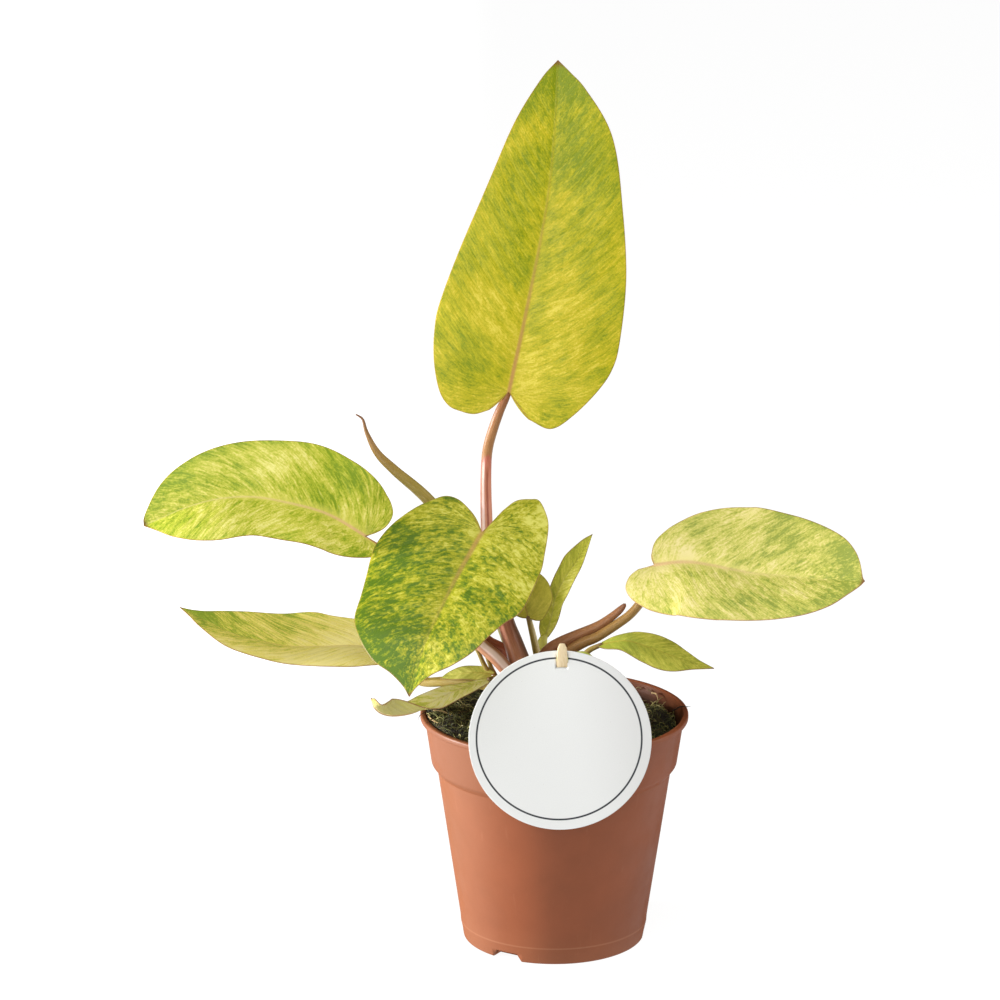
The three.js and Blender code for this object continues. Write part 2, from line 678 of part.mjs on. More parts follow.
function drainBearings() {
  return Array.from({ length: drain.count }, (_, index) => drain.firstBearing + (360 * index) / drain.count);
}

function potSolid() {
  let body = solidOf(lathe([[0, 0], ...potOutline(), ...potInside(), [0, pot.floor]], pot.sides));
  for (const bearing of drainBearings()) {
    body = body.add(drainBlock(bearing, drain.wall, -drain.wall - pot.wall / 2));
  }
  for (const bearing of drainBearings()) {
    body = body.subtract(drainBlock(bearing, 0, 4));
    const hole = new THREE.CylinderGeometry(drain.hole, drain.hole, 6, 10).rotateX(Math.PI / 2);
    hole.translate(0, -(pot.footRadius - drain.depth / 2 - 0.5), drain.height);
    hole.rotateZ(degrees(bearing));
    body = body.subtract(solidOf(hole));
  }
  return body;
}

// The soil fills the pot to a lumpy surface that lies higher on the left.
function soilTop(x, y) {
  const lumps = Math.sin(x * 0.21 + 1.3) * Math.cos(y * 0.17) + 0.6 * Math.sin(x * 0.09 - y * 0.33 + 0.5);
  return soil.level + soil.tilt * x + soil.lump * lumps * 0.5;
}

function soilSolid() {
  const wall = potInside().reverse().map(([r, z]) => [r - gap, z + (z === pot.floor ? gap : 0)]);
  const body = solidOf(lathe([[0, wall[0][1]], ...wall, [0, pot.height]], pot.sides));
  const vertices = [new THREE.Vector3(0, 0, soilTop(0, 0))];
  const triangles = [];
  const reach = pot.rimRadius + 4;
  for (let ring = 1; ring <= soil.rings; ring += 1) {
    for (let side = 0; side < soil.sides; side += 1) {
      const turn = (2 * Math.PI * (side + 0.5 * (ring % 2))) / soil.sides;
      const radius = (reach * ring) / soil.rings;
      const x = radius * Math.cos(turn);
      const y = radius * Math.sin(turn);
      vertices.push(new THREE.Vector3(x, y, soilTop(x, y)));
    }
  }
  const at = (ring, side) => 1 + (ring - 1) * soil.sides + (side % soil.sides);
  for (let side = 0; side < soil.sides; side += 1) {
    triangles.push([0, at(1, side), at(1, side + 1)]);
    for (let ring = 1; ring < soil.rings; ring += 1) {
      const shift = ring % 2;
      if (shift) {
        triangles.push([at(ring, side), at(ring + 1, side + 1), at(ring, side + 1)]);
        triangles.push([at(ring, side), at(ring + 1, side), at(ring + 1, side + 1)]);
      } else {
        triangles.push([at(ring, side), at(ring + 1, side), at(ring, side + 1)]);
        triangles.push([at(ring, side + 1), at(ring + 1, side), at(ring + 1, side + 1)]);
      }
    }
  }
  const count = vertices.length;
  const above = vertices.map((vertex) => new THREE.Vector3(vertex.x, vertex.y, pot.height + 20));
  const faces = triangles.map(([a, b, c]) => [a, c, b]).concat(triangles.map((t) => t.map((v) => v + count)));
  for (let side = 0; side < soil.sides; side += 1) {
    const a = at(soil.rings, side);
    const b = at(soil.rings, side + 1);
    faces.push([a, b, b + count], [a, b + count, a + count]);
  }
  let left = body.subtract(solidOf(meshOf(vertices.concat(above), faces)));
  for (const bearing of drainBearings()) {
    left = left.subtract(drainBlock(bearing, drain.wall + gap, 0));
  }
  return left;
}

// The short stem leans a little and swells at each node where a stalk has grown.
function stemSolid() {
  const count = Math.round((stem.top - stem.bottom) / (stem.nodeEvery / 3));
  const profile = [[0, stem.bottom]];
  for (let step = 0; step <= count; step += 1) {
    const share = step / count;
    const swell = step % 3 === 1 ? stem.nodeSwell : 0;
    const taper = share > 0.75 ? 1 - 1.6 * (share - 0.75) : 1;
    profile.push([stem.radius * taper + swell, stem.bottom + share * (stem.top - stem.bottom)]);
  }
  profile.push([0, stem.top + 1.5]);
  const geometry = lathe(profile, stem.sides);
  geometry.translate(0, 1, 0);
  return solidOf(geometry);
}

// The stick leans back at its foot and comes through the card near its top edge.
function stickSolid(grow = 0) {
  const half = stick.width / 2 + grow;
  const length = (stick.top - stick.bottom) / Math.cos(degrees(stick.lean));
  const outline = new THREE.Shape([
    new THREE.Vector2(-half, -grow),
    new THREE.Vector2(half, -grow),
    new THREE.Vector2(half, length - stick.point),
    new THREE.Vector2(half * 0.82, length - stick.point * 0.3),
    new THREE.Vector2(half * 0.45, length + grow),
    new THREE.Vector2(-half * 0.45, length + grow),
    new THREE.Vector2(-half * 0.82, length - stick.point * 0.3),
    new THREE.Vector2(-half, length - stick.point),
  ]);
  const depth = stick.depth + 2 * grow;
  const geometry = new THREE.ExtrudeGeometry(outline, { depth, bevelEnabled: false, steps: 1 });
  geometry.translate(0, -length, -depth / 2);
  geometry.rotateX(Math.PI / 2 + degrees(stick.lean));
  const drop = (stick.top - stick.slotHeight) * Math.tan(degrees(stick.lean));
  geometry.translate(stick.x, cardPlane(stick.slotHeight) - drop, stick.top);
  return solidOf(geometry);
}

// How far back the middle of the card lies at a height. Its back leans on the rim, a gap away from it.
function cardPlane(height) {
  const touch = -pot.rimRadius - gap - card.thickness / 2;
  return touch + (height - pot.height + 1) * Math.tan(degrees(card.lean));
}

function cardSolid() {
  const geometry = new THREE.CylinderGeometry(card.radius, card.radius, card.thickness, card.sides);
  geometry.rotateX(-degrees(card.lean));
  geometry.translate(card.centre[0], cardPlane(card.centre[1]), card.centre[1]);
  return solidOf(geometry);
}

const plant = new THREE.Group();

function addPiece(name, colour, solid, roughness = 0.55) {
  const material = new THREE.MeshStandardMaterial({ color: colour, roughness, metalness: 0 });
  const mesh = new THREE.Mesh(geometryOf(solid), material);
  mesh.name = name;
  plant.add(mesh);
}

const grownStalks = stalks.map((stalk) => stalkSolid(stalk, gap));
const grownStem = stemSolid();
const grownStick = stickSolid(gap);

addPiece('pot', colours.terracotta, potSolid(), 0.6);
addPiece('soil', colours.peat, cutBy(soilSolid(), [...grownStalks, grownStem, grownStick]), 1);
addPiece('stem', colours.stemGreen, cutBy(grownStem, grownStalks));
stalks.forEach((stalk, index) => {
  addPiece(stalk.name, stalk.colour, cutBy(stalkSolid(stalk), grownStalks.slice(0, index)), 0.4);
});
for (const leaf of leaves) {
  addPiece(leaf.name, leaf.colour, cutBy(solidOf(bladeGeometry(leaf)), grownStalks), 0.4);
}
addPiece('card', colours.card, cutBy(cardSolid(), [grownStick]), 0.8);
addPiece('card_stick', colours.wood, stickSolid(), 0.8);

export default plant;
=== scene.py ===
import math

import bpy
import numpy as np
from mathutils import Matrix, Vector, noise


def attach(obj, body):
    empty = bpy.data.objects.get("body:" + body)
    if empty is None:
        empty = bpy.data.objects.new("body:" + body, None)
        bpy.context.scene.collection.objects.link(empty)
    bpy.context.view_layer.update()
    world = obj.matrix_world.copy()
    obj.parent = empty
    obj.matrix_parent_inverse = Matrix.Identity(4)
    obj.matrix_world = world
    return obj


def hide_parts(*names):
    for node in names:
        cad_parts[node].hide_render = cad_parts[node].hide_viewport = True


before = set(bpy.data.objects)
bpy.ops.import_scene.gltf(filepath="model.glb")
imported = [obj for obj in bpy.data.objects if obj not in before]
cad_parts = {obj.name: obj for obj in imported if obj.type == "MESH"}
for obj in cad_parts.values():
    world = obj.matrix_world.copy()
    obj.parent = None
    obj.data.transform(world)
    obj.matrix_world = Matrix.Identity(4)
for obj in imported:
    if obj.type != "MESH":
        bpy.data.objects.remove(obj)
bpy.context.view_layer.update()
scene = bpy.context.scene
mm = 0.001
mapSize = 100  # millimetres in one unit of the UV maps


# Camera, light and floor

studio = {
    "cameraAt": (-0.0243, -1.977, 0.7553),
    "cameraPitch": 74.4,  # degrees up from looking straight down
    "lens": 167.3,
    "floor": 7.0,
    "sky": 0.09,
    "paper": 0.1,
    "glow": (1.9, 0.95, 0.5),  # painted light: how brightly the floor glows on the left, around the plant and far to the right
    "glowSteps": ((-0.02, -0.35), (0.65, 1.4)),  # from where to where it changes, across
    "aim": (0, 0, 0.18),
    "lights": [  # name, place, size, watts, colour
        ("leftSoftbox", (-1.7, 0, 0.24), 0.44, 62, (1, 1, 1)),
        ("topSoftbox", (-0.3, -0.45, 1.5), 1.6, 22, (1, 1, 1)),
        ("frontSoftbox", (-0.5, -2.2, 0.9), 1.2, 20, (1, 1, 1)),
        ("rightSoftbox", (1.8, 0.1, 0.6), 0.9, 14, (1, 0.92, 0.8)),
    ],
}


def paint(code):
    # a web colour as Blender's linear one
    parts = [int(code[k:k + 2], 16) / 255 for k in (0, 2, 4)]
    return tuple(((p + 0.055) / 1.055) ** 2.4 if p > 0.04045 else p / 12.92 for p in parts) + (1.0,)


def buildCamera():
    camera = bpy.data.objects.new("camera", bpy.data.cameras.new("camera"))
    camera.location = studio["cameraAt"]
    camera.rotation_euler = (math.radians(studio["cameraPitch"]), 0, 0)
    camera.data.lens = studio["lens"]
    camera.data.sensor_width = 36
    camera.data.clip_end = 20
    scene.collection.objects.link(camera)
    scene.camera = camera


def buildLights():
    scene.view_settings.view_transform = "Standard"
    world = bpy.data.worlds.new("studioAir")
    world.use_nodes = True
    sky = world.node_tree.nodes["Background"]
    sky.inputs["Color"].default_value = (1, 1, 1, 1)
    sky.inputs["Strength"].default_value = studio["sky"]
    scene.world = world
    for name, spot, size, watts, colour in studio["lights"]:
        lamp = bpy.data.lights.new(name, "AREA")
        lamp.size = size
        lamp.energy = watts
        lamp.color = colour
        light = bpy.data.objects.new(name, lamp)
        light.location = spot
        light.rotation_euler = (Vector(studio["aim"]) - Vector(spot)).to_track_quat("-Z", "Y").to_euler()
        scene.collection.objects.link(light)


def buildFloor():
    half = studio["floor"] / 2
    sheet = bpy.data.meshes.new("studio_floor")
    corners = [(-half, -half, 0), (half, -half, 0), (half, half, 0), (-half, half, 0)]
    sheet.from_pydata(corners, [], [(0, 1, 2, 3)])
    floor = bpy.data.objects.new("studio_floor", sheet)
    scene.collection.objects.link(floor)
    pale = studio["paper"]
    paper = finishOf("glowingFloorPaper", (pale, pale, pale, 1), 0.9, Emission_Color=(1, 1, 1, 1))
    tree = paper.node_tree
    x = split(tree, place(tree))[0]
    left, middle, right = studio["glow"]
    leftStep, rightStep = studio["glowSteps"]
    # the floor's glow is painted light: brightest on the left, where it lights the pot like a lit floor, and
    # dimmer far to the right
    glow = plus(tree, fade(tree, x, *leftStep, middle, left), fade(tree, x, *rightStep, 0, right - middle))
    tree.links.new(glow, tree.nodes["Principled BSDF"].inputs["Emission Strength"])
    floor.data.materials.append(paper)


# Curves and meshes

def smoothLine(points):
    # the smooth curve through the points, as close samples with the distance run
    given = np.array(points, float)
    held = np.vstack([2 * given[0] - given[1], given, 2 * given[-1] - given[-2]])
    at = np.linspace(0, len(given) - 1, 120 * (len(given) - 1) + 1)
    span = np.minimum(at.astype(int), len(given) - 2)
    w = (at - span)[:, None]
    before, start, end, after = (held[span + k] for k in range(4))
    leave = (end - before) / 2
    arrive = (after - start) / 2
    place = ((2 * w**3 - 3 * w**2 + 1) * start + (w**3 - 2 * w**2 + w) * leave
             + (3 * w**2 - 2 * w**3) * end + (w**3 - w**2) * arrive)
    slope = ((6 * w**2 - 6 * w) * (start - end) + (3 * w**2 - 4 * w + 1) * leave
             + (3 * w**2 - 2 * w) * arrive)
    steps = np.linalg.norm(np.diff(place[:, :3], axis=0), axis=1)
    run = np.concatenate([[0], np.cumsum(steps)])
    return {"run": run, "place": place, "slope": slope, "length": run[-1]}


def sample(line, what, run):
    return np.stack([np.interp(run, line["run"], column) for column in line[what].T], axis=-1)


def unit(vectors):
    return vectors / np.maximum(np.linalg.norm(vectors, axis=-1, keepdims=True), 1e-12)


def ease(value, start, end):
    t = np.clip((value - start) / (end - start), 0, 1)
    return t * t * (3 - 2 * t)


def clouds(points, size, seed=0.0):
    # smooth noise from -1 to 1 over points in mm, about `size` mm from lump to lump
    shift = Vector((seed, 0.37 * seed, -0.71 * seed))
    return np.array([noise.noise(Vector(p) / size + shift) for p in np.asarray(points, float).tolist()])


def meshPiece(name, points, faces, maps=None, materials=(), faceMaterials=None):
    # a mesh object from points in mm, with UV maps given by point or by face corner
    mesh = bpy.data.meshes.new(name)
    mesh.from_pydata((np.asarray(points) * mm).tolist(), [], [tuple(face) for face in faces])
    mesh.update()
    corners = np.empty(len(mesh.loops), int)
    mesh.loops.foreach_get("vertex_index", corners)
    for key, values in (maps or {}).items():
        layer = mesh.uv_layers.new(name=key)
        spread = values if len(values) == len(corners) and len(values) != len(points) else values[corners]
        layer.data.foreach_set("uv", np.ascontiguousarray(spread, dtype=np.float32).ravel())
    for material in materials:
        mesh.materials.append(material)
    if faceMaterials is not None:
        mesh.polygons.foreach_set("material_index", np.asarray(faceMaterials, np.int32))
    mesh.polygons.foreach_set("use_smooth", np.ones(len(mesh.polygons), bool))
    piece = bpy.data.objects.new(name, mesh)
    scene.collection.objects.link(piece)
    return piece


def dress(piece, finish, *nodes):
    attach(piece, "root")
    if nodes:
        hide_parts(*nodes)
    return piece


def applyModifiers(piece):
    shaped = piece.evaluated_get(bpy.context.evaluated_depsgraph_get())
    piece.data = bpy.data.meshes.new_from_object(shaped)
    piece.modifiers.clear()


def cut(piece, tool, operation="DIFFERENCE"):
    # one applied Boolean, after which the tool is gone
    change = piece.modifiers.new("cut", "BOOLEAN")
    change.object = tool
    change.operation = operation
    change.solver = "EXACT"
    applyModifiers(piece)
    bpy.data.objects.remove(tool)


def wear(piece, finish):
    # the one finish of a piece that was cut
    piece.data.materials.clear()
    piece.data.materials.append(finish)


def roundedLine(corners, every=4.0, steps=6):
    # a line through corners of (across, up, rounding), with support points beside each rounding
    support = 0.5
    line = []
    for index, (x, y, rounding) in enumerate(corners):
        here = np.array([x, y], float)
        if rounding == 0 or index in (0, len(corners) - 1):
            line.append(here)
            continue
        towards = [np.array(corners[index + k][:2], float) - here for k in (-1, 1)]
        lengths = [np.linalg.norm(t) for t in towards]
        ways = [t / n for t, n in zip(towards, lengths)]
        angle = math.acos(np.clip(ways[0] @ ways[1], -1, 1))
        back = min(rounding / math.tan(angle / 2), 0.45 * min(lengths))
        first, last = here + ways[0] * back, here + ways[1] * back
        for k in range(steps + 1):
            s = k / steps
            line.append((1 - s) ** 2 * first + 2 * s * (1 - s) * here + s * s * last)
    full = [line[0]]
    for start, end in zip(line, line[1:]):
        length = np.linalg.norm(end - start)
        if length > 3.2 * support:
            count = max(1, round((length - 2 * support) / every))
            first = support / length
            between = first + (1 - 2 * first) * np.arange(1, count) / count
            full += [start + (end - start) * s for s in (first, *between, 1 - first)]
        full.append(end)
    return np.array(full)


def ringOf(radius, height, sides):
    turn = 2 * np.pi * np.arange(sides) / sides
    return np.column_stack([radius * np.cos(turn), radius * np.sin(turn), np.full(sides, height)])


def spun(profile, sides):
    # points and faces of a closed shape turned round the Z axis, whose profile starts and ends on the axis
    inner = profile[1:-1]
    ends = [[0, 0, profile[0][1]], [0, 0, profile[-1][1]]]
    points = np.vstack([ends, *[ringOf(radius, height, sides) for radius, height in inner]])
    faces = []
    for side in range(sides):
        after = (side + 1) % sides
        faces.append((0, 2 + after, 2 + side))
        last = 2 + (len(inner) - 1) * sides
        faces.append((1, last + side, last + after))
        for row in range(len(inner) - 1):
            a = 2 + row * sides
            faces.append((a + side, a + after, a + sides + after, a + sides + side))
    return points, faces


# Shader nodes

def add(tree, kind, plugs=(), **settings):
    node = tree.nodes.new(kind)
    for key, value in settings.items():
        setattr(node, key, value)
    for socket, value in dict(plugs).items():
        if isinstance(value, bpy.types.NodeSocket):
            tree.links.new(value, node.inputs[socket])
        elif value is not None:
            node.inputs[socket].default_value = value
    return node


def calc(tree, operation, *values):
    return add(tree, "ShaderNodeMath", enumerate(values), operation=operation).outputs[0]


def plus(tree, first, second):
    return calc(tree, "ADD", first, second)


def times(tree, first, second):
    return calc(tree, "MULTIPLY", first, second)


def apart(tree, value, middle):
    # how far the value is from the middle
    return calc(tree, "ABSOLUTE", calc(tree, "SUBTRACT", value, middle))


def fade(tree, value, start, end, low=0.0, high=1.0):
    plugs = {0: value, 1: start, 2: end, 3: low, 4: high}
    return add(tree, "ShaderNodeMapRange", plugs, interpolation_type="SMOOTHSTEP").outputs[0]


def speckle(tree, vector, scale, detail=3.0, rough=0.5, warp=0.0):
    plugs = {"Vector": vector, "Scale": scale, "Detail": detail, "Roughness": rough, "Distortion": warp}
    return add(tree, "ShaderNodeTexNoise", plugs).outputs[0]


def ramp(tree, factor, stops):
    node = add(tree, "ShaderNodeValToRGB", {0: factor})
    marks = node.color_ramp.elements
    marks.remove(marks[1])
    marks[0].position = stops[0][0]
    marks[0].color = paint(stops[0][1])
    for position, code in stops[1:]:
        marks.new(position).color = paint(code)
    return node.outputs[0]


def blend(tree, factor, first, second):
    # between two colours, each a node's socket or a web colour
    plugs = {0: factor, 6: paint(first) if isinstance(first, str) else first,
             7: paint(second) if isinstance(second, str) else second}
    return add(tree, "ShaderNodeMix", plugs, data_type="RGBA").outputs[2]


def split(tree, vector):
    return add(tree, "ShaderNodeSeparateXYZ", {0: vector}).outputs


def joinXyz(tree, x, y, z):
    return add(tree, "ShaderNodeCombineXYZ", {0: x, 1: y, 2: z}).outputs[0]


def uvMap(tree, name):
    return add(tree, "ShaderNodeUVMap", uv_map=name).outputs[0]


def distance(tree, first, second):
    plugs = {0: first, 1: second}
    return add(tree, "ShaderNodeVectorMath", plugs, operation="DISTANCE").outputs["Value"]


def place(tree):
    return add(tree, "ShaderNodeTexCoord").outputs["Object"]


def relief(tree, height, depth, strength=1.0):
    # depth in mm
    plugs = {"Height": height, "Distance": depth * mm, "Strength": strength}
    return add(tree, "ShaderNodeBump", plugs).outputs[0]


def finishOf(name, colour, rough, normal=None, **others):
    # a Principled material, whose sockets are given values or functions of its node tree
    material = bpy.data.materials.new(name)
    material.use_nodes = True
    tree = material.node_tree
    surface = tree.nodes["Principled BSDF"]
    sockets = {"Base Color": colour, "Roughness": rough, "Normal": normal, **others}
    for key, value in sockets.items():
        socket = surface.inputs[key.replace("_", " ")]
        if callable(value):
            tree.links.new(value(tree), socket)
        elif value is not None:
            socket.default_value = value
    return material


# Pot

pot = {
    "height": 105.3,
    "rimRadius": 60.0,
    "lipDepth": 2.4,
    "lipHeight": 2.8,
    "collarRadius": 57.9,
    "collarTop": 102.0,
    "collarFoot": (55.0, 82.4),
    "step": (52.4, 79.2),
    "footRadius": 40.7,
    "wall": 1.3,
    "floor": 1.6,
    "ridgeHeight": 7.4,
    "ridge": (0.24, 0.7),  # how far it stands out, half its height
    "sides": 176,
    "colour": "824629",
    "dark": "794125",
    # the colour of dust, also painted as sheen on the pot's lit left side
    "dustAndSheen": "87583b",
    "scuff": "c99878",
    # a painted highlight along the ridge
    "ridgeHighlight": "c08d6c",
    "within": [(39.6, 1.6), (50.9, 77.4), (53.6, 82.6), (56.6, 101.3), (57.6, 105.3)],  # radius, height
    # painted shade inside the pot: the inner wall darker than the outside, darkest low down
    "inside": ("3d2417", "633823"),
    # painted shade that tones down the collar's lit left side
    "paintedCollarShade": "7c4b31",
}
drain = {
    "bearings": (-31.5, 88.5, 208.5),
    "topWidth": 10.6,
    "footWidth": 16.0,
    "height": 3.8,
    "depth": 7.0,
    "wall": 1.2,
    "hole": 2.0,
}


def potProfile():
    # radius and height from the foot's middle up the outside, over the lip and down to the floor inside
    inside = pot["rimRadius"] - pot["lipDepth"]
    collarFoot, collarBottom = pot["collarFoot"]
    stepRadius, stepHeight = pot["step"]
    lipFoot = pot["height"] - pot["lipHeight"]
    corners = [
        (0, 0, 0),
        (pot["footRadius"], 0, 0.9),
        (stepRadius, stepHeight, 0.3),
        (collarFoot, collarBottom, 2.6),
        (pot["collarRadius"], lipFoot - 0.3, 0.6),
        (pot["rimRadius"], lipFoot + 0.1, 1.0),
        (pot["rimRadius"], pot["height"], 1.2),
        (inside, pot["height"], 1.0),
        (pot["collarRadius"] - pot["wall"], lipFoot - 1.2, 2.0),
        (collarFoot - pot["wall"], collarBottom + 1, 2.0),
        (stepRadius - pot["wall"], stepHeight, 2.0),
        (pot["footRadius"] - pot["wall"] + 0.2, pot["floor"], 1.2),
        (0, pot["floor"], 0),
    ]
    line = roundedLine(corners, every=3.0)
    outside = np.arange(len(line)) < np.argmax(line[:, 1])
    proud, size = pot["ridge"]
    line[:, 0] += np.where(outside, proud * np.exp(-((line[:, 1] - pot["ridgeHeight"]) / size) ** 2), 0)
    return line


def drainBlock(bearing, grow, reach):
    # one recess at the foot, wider below, or with `grow` the pocket that walls it off
    half = drain["topWidth"] / 2 + grow
    foot = drain["footWidth"] / 2 + grow
    low = 0.02 if grow > 0 else -1
    high = drain["height"] + grow
    inner = pot["footRadius"] - drain["depth"] - grow
    outer = pot["footRadius"] + reach
    section = [(-foot, low), (foot, low), (half, high), (-half, high)]
    points = np.array([(x, -depth, z) for depth in (inner, outer) for x, z in section])
    turn = math.radians(bearing)
    spin = np.array([[math.cos(turn), math.sin(turn), 0], [-math.sin(turn), math.cos(turn), 0], [0, 0, 1]])
    faces = [(3, 2, 1, 0), (4, 5, 6, 7), (1, 5, 4, 0), (2, 6, 5, 1), (3, 7, 6, 2), (0, 4, 7, 3)]
    return meshPiece("drain_tool", points @ spin, faces)


def drainHole(bearing):
    turn = math.radians(bearing)
    reach = pot["footRadius"] - drain["depth"] / 2 - 0.5
    points, faces = spun(np.array([(0, 1.5), (drain["hole"], 1.5), (drain["hole"], 7), (0, 7)]), 24)
    centre = np.array([math.sin(turn) * reach, -math.cos(turn) * reach, 0])
    return meshPiece("drain_tool", points + centre, faces)


def insideMask(tree):
    # 1 on the collar's inner wall and 0 on the outside of the pot
    x, y, height = split(tree, place(tree))
    reach = distance(tree, joinXyz(tree, x, y, 0.0), (0, 0, 0))
    radius, low = pot["collarFoot"]
    slope = (pot["collarRadius"] - radius) / (pot["collarTop"] - low)
    middle = calc(tree, "MULTIPLY_ADD", height, slope, (radius - pot["wall"] / 2 - slope * low) * mm)
    within = fade(tree, calc(tree, "SUBTRACT", reach, middle), 0.0003, -0.0003)
    return times(tree, within, fade(tree, height, 0.084, 0.085))


def potColour(tree):
    where = place(tree)
    x, _, height = split(tree, where)
    cloudy = speckle(tree, where, 22, 4, 0.6)
    grain = speckle(tree, where, 900, 3, 0.6)
    colour = blend(tree, fade(tree, cloudy, 0.35, 0.7), pot["colour"], pot["dark"])
    colour = blend(tree, fade(tree, grain, 0.55, 0.9, 0, 0.25), colour, pot["dustAndSheen"])
    # painted sheen: the left side, where the key light falls, paler and duller
    left = fade(tree, x, -0.015, -0.05)
    colour = blend(tree, times(tree, left, 0.5), colour, pot["dustAndSheen"])
    # painted shade on the collar's left, where the key light falls
    collar = times(tree, times(tree, left, 0.8), fade(tree, height, 0.079, 0.083))
    colour = blend(tree, collar, colour, pot["paintedCollarShade"])
    low = fade(tree, plus(tree, height, times(tree, cloudy, 0.02)), 0.03, 0.004, 0, 0.3)
    colour = blend(tree, low, colour, pot["dustAndSheen"])
    flow = add(tree, "ShaderNodeMapping", {"Vector": where, "Scale": (260, 260, 14)}).outputs[0]
    scuffs = fade(tree, speckle(tree, flow, 1.0, 2, 0.6), 0.64, 0.8, 0, 0.06)
    colour = blend(tree, scuffs, colour, pot["scuff"])
    # a painted highlight: a paler line just above the ridge
    off = apart(tree, height, (pot["ridgeHeight"] + 0.4) * mm)
    colour = blend(tree, fade(tree, off, 0.0006, 0.0001, 0, 0.14), colour, pot["ridgeHighlight"])
    # painted shade: the inner wall darker than the outside and darkest low down
    inner = blend(tree, fade(tree, height, 0.098, 0.105), *pot["inside"])
    return blend(tree, insideMask(tree), colour, inner)


def potRough(tree):
    return fade(tree, speckle(tree, place(tree), 60, 4, 0.6), 0.3, 0.75, 0.36, 0.5)


def potNormal(tree):
    where = place(tree)
    fine = speckle(tree, where, 1400, 2, 0.5)
    broad = speckle(tree, where, 90, 2, 0.5)
    return relief(tree, plus(tree, times(tree, fine, 0.25), broad), 0.12, 0.5)


def potGloss(tree):
    facing = add(tree, "ShaderNodeLayerWeight", {"Blend": 0.5}).outputs["Facing"]
    gloss = fade(tree, facing, 0.3, 0.85, 0.26, 0.01)
    return times(tree, gloss, fade(tree, insideMask(tree), 0, 1, 1, 0.15))


def buildPot():
    points, faces = spun(potProfile(), pot["sides"])
    shape = meshPiece("nursery_pot", points, faces)
    for bearing in drain["bearings"]:
        cut(shape, drainBlock(bearing, drain["wall"], -drain["wall"] - pot["wall"] / 2), "UNION")
    for bearing in drain["bearings"]:
        cut(shape, drainBlock(bearing, 0, 4))
        cut(shape, drainHole(bearing))
    wear(shape, finishOf("terracottaPlastic", potColour, potRough, potNormal, Specular_IOR_Level=potGloss))
    dress(shape, "terracotta_plastic", "pot")


# Soil, moss and fibres

soil = {
    "level": 98.5,
    "tilt": -0.08,
    "lump": 1.3,
    "cushion": 2.6,
    "mounds": [(47, 15, 10, 3.6), (-47, -26, 16, 3.4), (-53, -3, 10, 2.4)],  # across, deep, radius, height
    "gap": 0.3,
    "sides": 150,
    "rings": 52,
    "edge": (100.0, 4.5),  # height of its edge, and how much lower that is towards +X
    "wallHeights": (93, 90, 81.5, 77.4, 50, 30, 12, 6),
    "underShares": (0.95, 0.9, 0.86, 0.82, 0.78, 0.6, 0.3),
}


def soilHeight(x, y):
    # the packed soil's surface, raised into the cushions of moss
    lumps = np.sin(x * 0.21 + 1.3) * np.cos(y * 0.17) + 0.6 * np.sin(x * 0.09 - y * 0.33 + 0.5)
    base = soil["level"] + soil["tilt"] * x + soil["lump"] * lumps * 0.5
    for across, deep, radius, height in soil["mounds"]:
        base = base + height * np.exp(-((x - across) ** 2 + (y - deep) ** 2) / radius ** 2)
    spots = np.column_stack([x, y, np.zeros_like(x)])
    cushions = np.clip(clouds(spots, 13, 4.0) * 1.3 + 0.35, 0, 1)
    crumbs = 0.5 * clouds(spots, 3.2, 9.0) + 0.25 * clouds(spots, 1.4, 2.0)
    away = ease(np.hypot(x, y), 56, 50)
    return base + soil["cushion"] * cushions * (0.35 + 0.65 * away) + crumbs


def insideRadius(height):
    radii, heights = zip(*pot["within"])
    return np.interp(height, heights, radii) - soil["gap"]


def soilColour(tree):
    where = place(tree)
    lumps = speckle(tree, where, 260, 5, 0.65)
    grit = speckle(tree, where, 900, 3, 0.6)
    colour = ramp(tree, lumps, [(0.3, "120e08"), (0.46, "281f12"), (0.58, "3b3218"), (0.72, "5f5629")])
    return blend(tree, fade(tree, grit, 0.6, 0.75, 0, 0.6), colour, "6b5b34")


def soilNormal(tree):
    where = place(tree)
    lumps = plus(tree, speckle(tree, where, 420, 5, 0.7), speckle(tree, where, 1500, 2, 0.6))
    return relief(tree, lumps, 1.4)


def buildSoil():
    sides, rings = soil["sides"], soil["rings"]
    turn = 2 * np.pi * np.arange(sides) / sides
    height, fall = soil["edge"]
    edge = insideRadius(height - fall * np.cos(turn))
    shares = (np.arange(1, rings + 1) / rings) ** 0.9
    x = (shares[:, None] * edge * np.cos(turn)).ravel()
    y = (shares[:, None] * edge * np.sin(turn)).ravel()
    top = np.column_stack([x, y, soilHeight(x, y)])
    centre = soilHeight(np.zeros(1), np.zeros(1))[0]
    low = pot["floor"] + soil["gap"]
    lower = [ringOf(insideRadius(height), height, sides) for height in (*soil["wallHeights"], low)]
    lower += [ringOf(share * insideRadius(low), low, sides) for share in soil["underShares"]]
    points = np.vstack([[[0, 0, centre]], [[0, 0, low]], top, *lower])
    clear = drain["height"] + drain["wall"] + soil["gap"]
    for bearing in drain["bearings"]:
        way = math.radians(bearing)
        outward = points[:, 0] * math.sin(way) - points[:, 1] * math.cos(way)
        aside = points[:, 0] * math.cos(way) + points[:, 1] * math.sin(way)
        reach = drain["footWidth"] / 2 + drain["wall"] + 1.5
        inPocket = (outward > pot["footRadius"] - drain["depth"] - 3) & (abs(aside) < reach)
        points[:, 2] = np.where(inPocket, np.maximum(points[:, 2], clear), points[:, 2])
    faces = []
    layers = rings + len(lower)
    for side in range(sides):
        after = (side + 1) % sides
        faces.append((0, 2 + side, 2 + after))
        last = 2 + (layers - 1) * sides
        faces.append((1, last + after, last + side))
        for ring in range(layers - 1):
            a = 2 + ring * sides
            faces.append((a + side, a + sides + side, a + sides + after, a + after))
    peat = finishOf("mossyPeat", soilColour, 0.95, soilNormal)
    dress(meshPiece("soil_bed", points, faces, materials=[peat]), "potting_soil", "soil")


